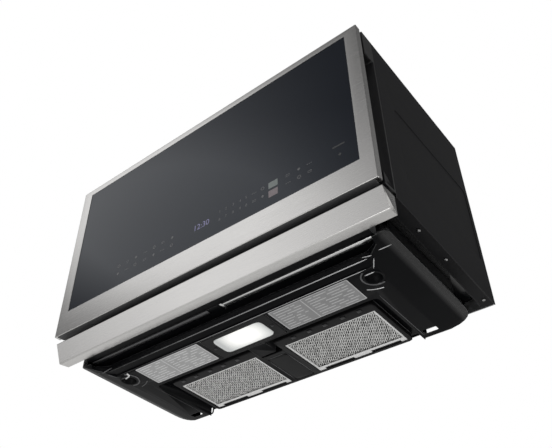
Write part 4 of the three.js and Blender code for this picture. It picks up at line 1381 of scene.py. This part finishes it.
@dataclass
class Tray:
    """What shows on the underside: both sides, the middle's beads, a painted highlight in the left
    cup and two screws.
    """

    # The right side's corner and bay beads carry brighter painted highlights than the left side's,
    # whose bay beads stay black.
    halves: Sequence[TraySide] = (
        TraySide(Side.LEFT, LEFT_LABEL, BRIGHT_RULE, DULL_BEAD, BLACK_SCREW, -62.0, 53.0),
        TraySide(Side.RIGHT, RIGHT_LABEL, LABEL_RULE, BRIGHT_BEAD, DULL_BEAD, 71.0, 97.0))
    front_runs: Sequence[Run] = (
        ((-300, -326.2, 2.8), (300, -326.2, 2.8), 1.05),
        ((-285, -307.6, 0.1), (285, -307.6, 0.1), 0.8))
    panel_runs: Sequence[Run] = (
        ((-19, -171.4, 6.2), (19, -171.4, 6.2), 0.6),
        ((-22.4, -167, 6.2), (-22.4, -82, 6.2), 0.6),
        ((22.4, -167, 6.2), (22.4, -82, 6.2), 0.6))
    clip_runs: Sequence[Run] = (
        ((-267.5, -306.0, -1.0), (-270.5, -295.0, -1.6), 2.0),
        ((-269.5, -296.5, -1.6), (-287.0, -292.5, -1.2), 2.0))
    lamp_screw: Pair = (66.6, -269.4)
    head: Pair = (3.0, 1.6)

    def build(self) -> None:
        """Makes every piece of the underside."""
        for half in self.halves:
            half.build()
        # The bright and dim grey metal of these beads is painted highlight along the ridges.
        raise_beads("tray_front_beads", FRONT_BEAD, self.front_runs)
        raise_beads("carrier_panel_beads", DULL_BEAD, self.panel_runs, "black_plastic")
        # A bright hook of painted highlight on the rim of the left cup.
        raise_beads("left_cup_clip", BRIGHT_STEEL, self.clip_runs, "zinc")
        screws = Workpiece("lamp_cover_screws")
        for side in Side:
            screws.screw((side * self.lamp_screw[0], self.lamp_screw[1], 0.0), DOWN, *self.head)
        screws.finish(BLACK_SCREW, "lamp_door", "black_plastic", slope=True)


# ---- Cabinet ----


@dataclass
class Cabinet:
    """Screws of the cabinet's lower flanges and of its top."""

    flange_places: Sequence[Point] = (
        (369.0, -270.0, -192.7), (369.0, -176.0, -197.1), (369.0, -28.0, -203.7))
    flange_head: Pair = (3.4, 2.0)
    top: float = 205.0
    top_places: Sequence[Pair] = (
        (-365, -345), (365, -345), (-180, -288), (0, -288), (180, -288), (-365, -12), (-120, -12),
        (120, -12))
    top_head: Pair = (3.4, 1.8)
    body: str = "cabinet"

    def build(self) -> None:
        """Makes the cabinet's screws."""
        flange = Workpiece("flange_screws")
        for x, y, z in self.flange_places:
            for side in Side:
                flange.screw((side * x, y, z), DOWN, *self.flange_head)
        flange.finish(SCREW_STEEL, self.body, "zinc")
        top = Workpiece("top_screws")
        for x, y in self.top_places:
            top.screw((x, y, self.top), UP, *self.top_head)
        top.finish(SCREW_STEEL, self.body, "zinc")


# ---- Studio ----


@dataclass(frozen=True)
class Lamp:
    """A soft rectangular lamp; its lengths are metres and its power watts."""

    name: str
    place: Point
    aim: Point
    size: Pair
    power: float
    glossy: bool = True
    diffuse: bool = True

    def build(self) -> None:
        """Adds the lamp to the scene."""
        data = bpy.data.lights.new(self.name, "AREA")
        data.shape = "RECTANGLE"
        data.size, data.size_y = self.size
        data.energy = self.power
        lamp = place_object(self.name, data)
        turn = (Vector(self.aim) - Vector(self.place)).to_track_quat("-Z", "Y")
        lamp.matrix_world = Matrix.Translation(self.place) @ turn.to_matrix().to_4x4()
        lamp.visible_glossy = self.glossy
        lamp.visible_diffuse = self.diffuse


@dataclass(frozen=True)
class Lobe:
    """A soft bright area of the world that metal and glass reflect; angles are in degrees."""

    azimuth: float
    elevation: float
    strength: float
    width: float

    def glow(self, sky: Nodes, place: Socket) -> Value:
        """Its strength in each direction.

        Args:
            sky: the world's node tree.
            place: the direction that is seen.

        Returns:
            The strength.
        """
        a, e = math.radians(self.azimuth), math.radians(self.elevation)
        middle = (math.cos(e) * math.sin(a), -math.cos(e) * math.cos(a), math.sin(e))
        fall = 2 / math.radians(self.width) ** 2
        return ((sky.cosine(place, middle) - 1) * fall).exponential() * self.strength


@dataclass
class Studio:
    """Camera, soft lamps, pale floor and white background; its own lengths are metres.

    upper, horizon and overhead are heights and widths of bands in the world that is reflected.
    """

    camera_place: Point = (0.70273, -1.08999, -0.87296)
    camera_axes: tuple[Point, Point, Point] = (
        (0.7892, 0.6140, -0.0144), (0.3976, -0.4929, 0.7739), (0.4681, -0.6165, -0.6331))
    lens: float = 44.106
    sensor: float = 36.0
    nearest: float = 0.01
    floor_z: float = -1.62
    floor_size: float = 7.0
    floor_colors: tuple[Color, Color] = ((0.8, 0.8, 0.79), (0.84, 0.84, 0.83))
    ambient: float = 0.55
    gloom: float = 0.22
    lobes: Sequence[Lobe] = (Lobe(-45.0, 37.5, 1.8, 12.0), Lobe(-34.0, 0.0, 0.95, 14.5))
    upper: Pair = (0.47, 0.12)
    horizon: Pair = (0.3, 0.1)
    overhead: Pair = (0.63, 0.12)
    overhead_dim: float = 0.45
    least: float = 0.25
    most: float = 1.15
    lamps: Sequence[Lamp] = (
        Lamp("key", (-1.6, -2.6, 1.8), (0, -0.2, 0), (2.2, 1.6), 45.0, False),
        Lamp("fill", (2.6, -1.4, 0.2), (0.2, -0.2, 0), (1.6, 1.6), 12.0, False),
        Lamp("low_front", (0.1, -2.2, -1.35), (0, -0.2, -0.2), (1.2, 0.5), 5.0),
        Lamp("low_side", (1.6, 1.5, -0.9), (0.35, -0.2, -0.25), (1.6, 1.3), 6.6, True, False),
        Lamp("low_left", (-1.7, 1.3, -1.2), (-0.2, -0.25, -0.25), (2.2, 0.9), 1.2, True, False))

    def build(self) -> None:
        """Sets the camera, the lamps, the floor and the world."""
        self.camera()
        for lamp in self.lamps:
            lamp.build()
        self.floor()
        self.world()
        bpy.context.scene.view_settings.view_transform = "Standard"

    def camera(self) -> None:
        """The camera, below the door's right corner and looking up."""
        data = bpy.data.cameras.new("camera")
        data.sensor_fit = "HORIZONTAL"
        data.sensor_width = self.sensor
        data.lens = self.lens
        data.clip_start = self.nearest
        camera = place_object("camera", data)
        turn = Matrix(self.camera_axes).transposed().to_4x4()
        camera.matrix_world = Matrix.Translation(self.camera_place) @ turn
        bpy.context.scene.camera = camera

    def floor(self) -> None:
        """A wide pale floor, well below the oven."""
        mesh = bmesh.new()
        bmesh.ops.create_grid(mesh, x_segments=1, y_segments=1, size=self.floor_size,
                              matrix=Matrix.Translation((0, 0, self.floor_z)))
        canvas = Canvas("pale_floor")
        canvas.set(Base_Color=canvas.blend(canvas.noise(3.0), *self.floor_colors), Roughness=0.7)
        data = bpy.data.meshes.new("floor")
        mesh.to_mesh(data)
        mesh.free()
        data.materials.append(canvas.material)
        place_object("floor", data)

    def world(self) -> None:
        """White for the camera and through glass, banded for reflections, plain for light."""
        world = bpy.data.worlds.new("studio")
        bpy.context.scene.world = world
        world.use_nodes = True
        sky = Nodes(world.node_tree)
        sky.tree.nodes.clear()
        place = sky.node("TexCoord").outputs["Generated"]
        height = sky.read(sky.node("SeparateXYZ", Vector=place), "Z")
        reflected: Number = self.gloom
        for lobe in self.lobes:
            reflected = reflected + lobe.glow(sky, place)
        band = height.ramp(*self.upper) + (1 - height.ramp(*self.horizon))
        above = 1 - height.ramp(*self.overhead) * self.overhead_dim
        reflected = (reflected * band.clamped(self.least, 1.0) * above).clamped(0.0, self.most)
        rays = sky.node("LightPath")
        glossy, seen, through = (sky.read(rays, f"Is {ray} Ray")
                                 for ray in ("Glossy", "Camera", "Transmission"))
        plain = (seen + through).clamped()
        strength = (plain + glossy * (1 - plain) * reflected
                    + (1 - plain) * (1 - glossy) * self.ambient)
        background = sky.node("Background", Color=(1.0, 1.0, 1.0), Strength=strength)
        sky.node("OutputWorld", Surface=background.outputs[0])


# ---- The frame's own nodes ----


@dataclass
class Casing:
    """The finishes of the frame's nodes, and smooth copies of those with rolled edges."""

    frame: dict[str, Any]
    rolled: Sequence[str] = (
        "base_pan", "front_bezel", "vent_bar", "vent_plate", "door_frame", "filter_carrier",
        "lamp_cover", "left_side_panel", "right_side_panel", "left_filter_frame",
        "right_filter_frame", "glass_tray", "cavity_liner", "choke_cover", "door_core")
    weld: float = 2e-6
    smooth: float = 38.0

    def build(self) -> None:
        """Dresses every node and lays the skins."""
        self.dress()
        self.lay_skins()

    def dress(self) -> None:
        """Gives every node of the frame its finish."""
        for name, node in self.frame["nodes"].items():
            material = NODE_FINISHES[name].material()
            if not node.material_slots:
                node.data.materials.append(material)
            for slot in node.material_slots:
                slot.material = material
            log.info("dressed %s with %s", name, material.name)

    def lay_skins(self) -> None:
        """Merges each copy's loose triangles and shades it with its large faces flat."""
        record = self.frame["record"]
        bodies = {node: body for body, members in record["behaviour"]["bodies"].items()
                  for node in members}
        for name in self.rolled:
            mesh = bmesh.new()
            mesh.from_mesh(self.frame["nodes"][name].data)
            bmesh.ops.remove_doubles(mesh, verts=mesh.verts[:], dist=self.weld)
            bmesh.ops.dissolve_degenerate(mesh, edges=mesh.edges[:], dist=self.weld)
            bmesh.ops.recalc_face_normals(mesh, faces=mesh.faces[:])
            skin = add_piece(mesh, f"{name}_skin", NODE_FINISHES[name], bodies[name],
                             self.smooth)
            skin.modifiers.new("flat_faces", "WEIGHTED_NORMAL").keep_sharp = True
            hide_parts(name)


def main() -> None:
    """Builds the studio and every sub-assembly."""
    logging.basicConfig(level=logging.INFO, format="%(name)s: %(message)s")
    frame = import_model()
    for assembly in (Casing(frame), Studio(), Door(), VentDrawer(), Tray(), Cabinet()):
        assembly.build()


if __name__ == "__main__":
    main()
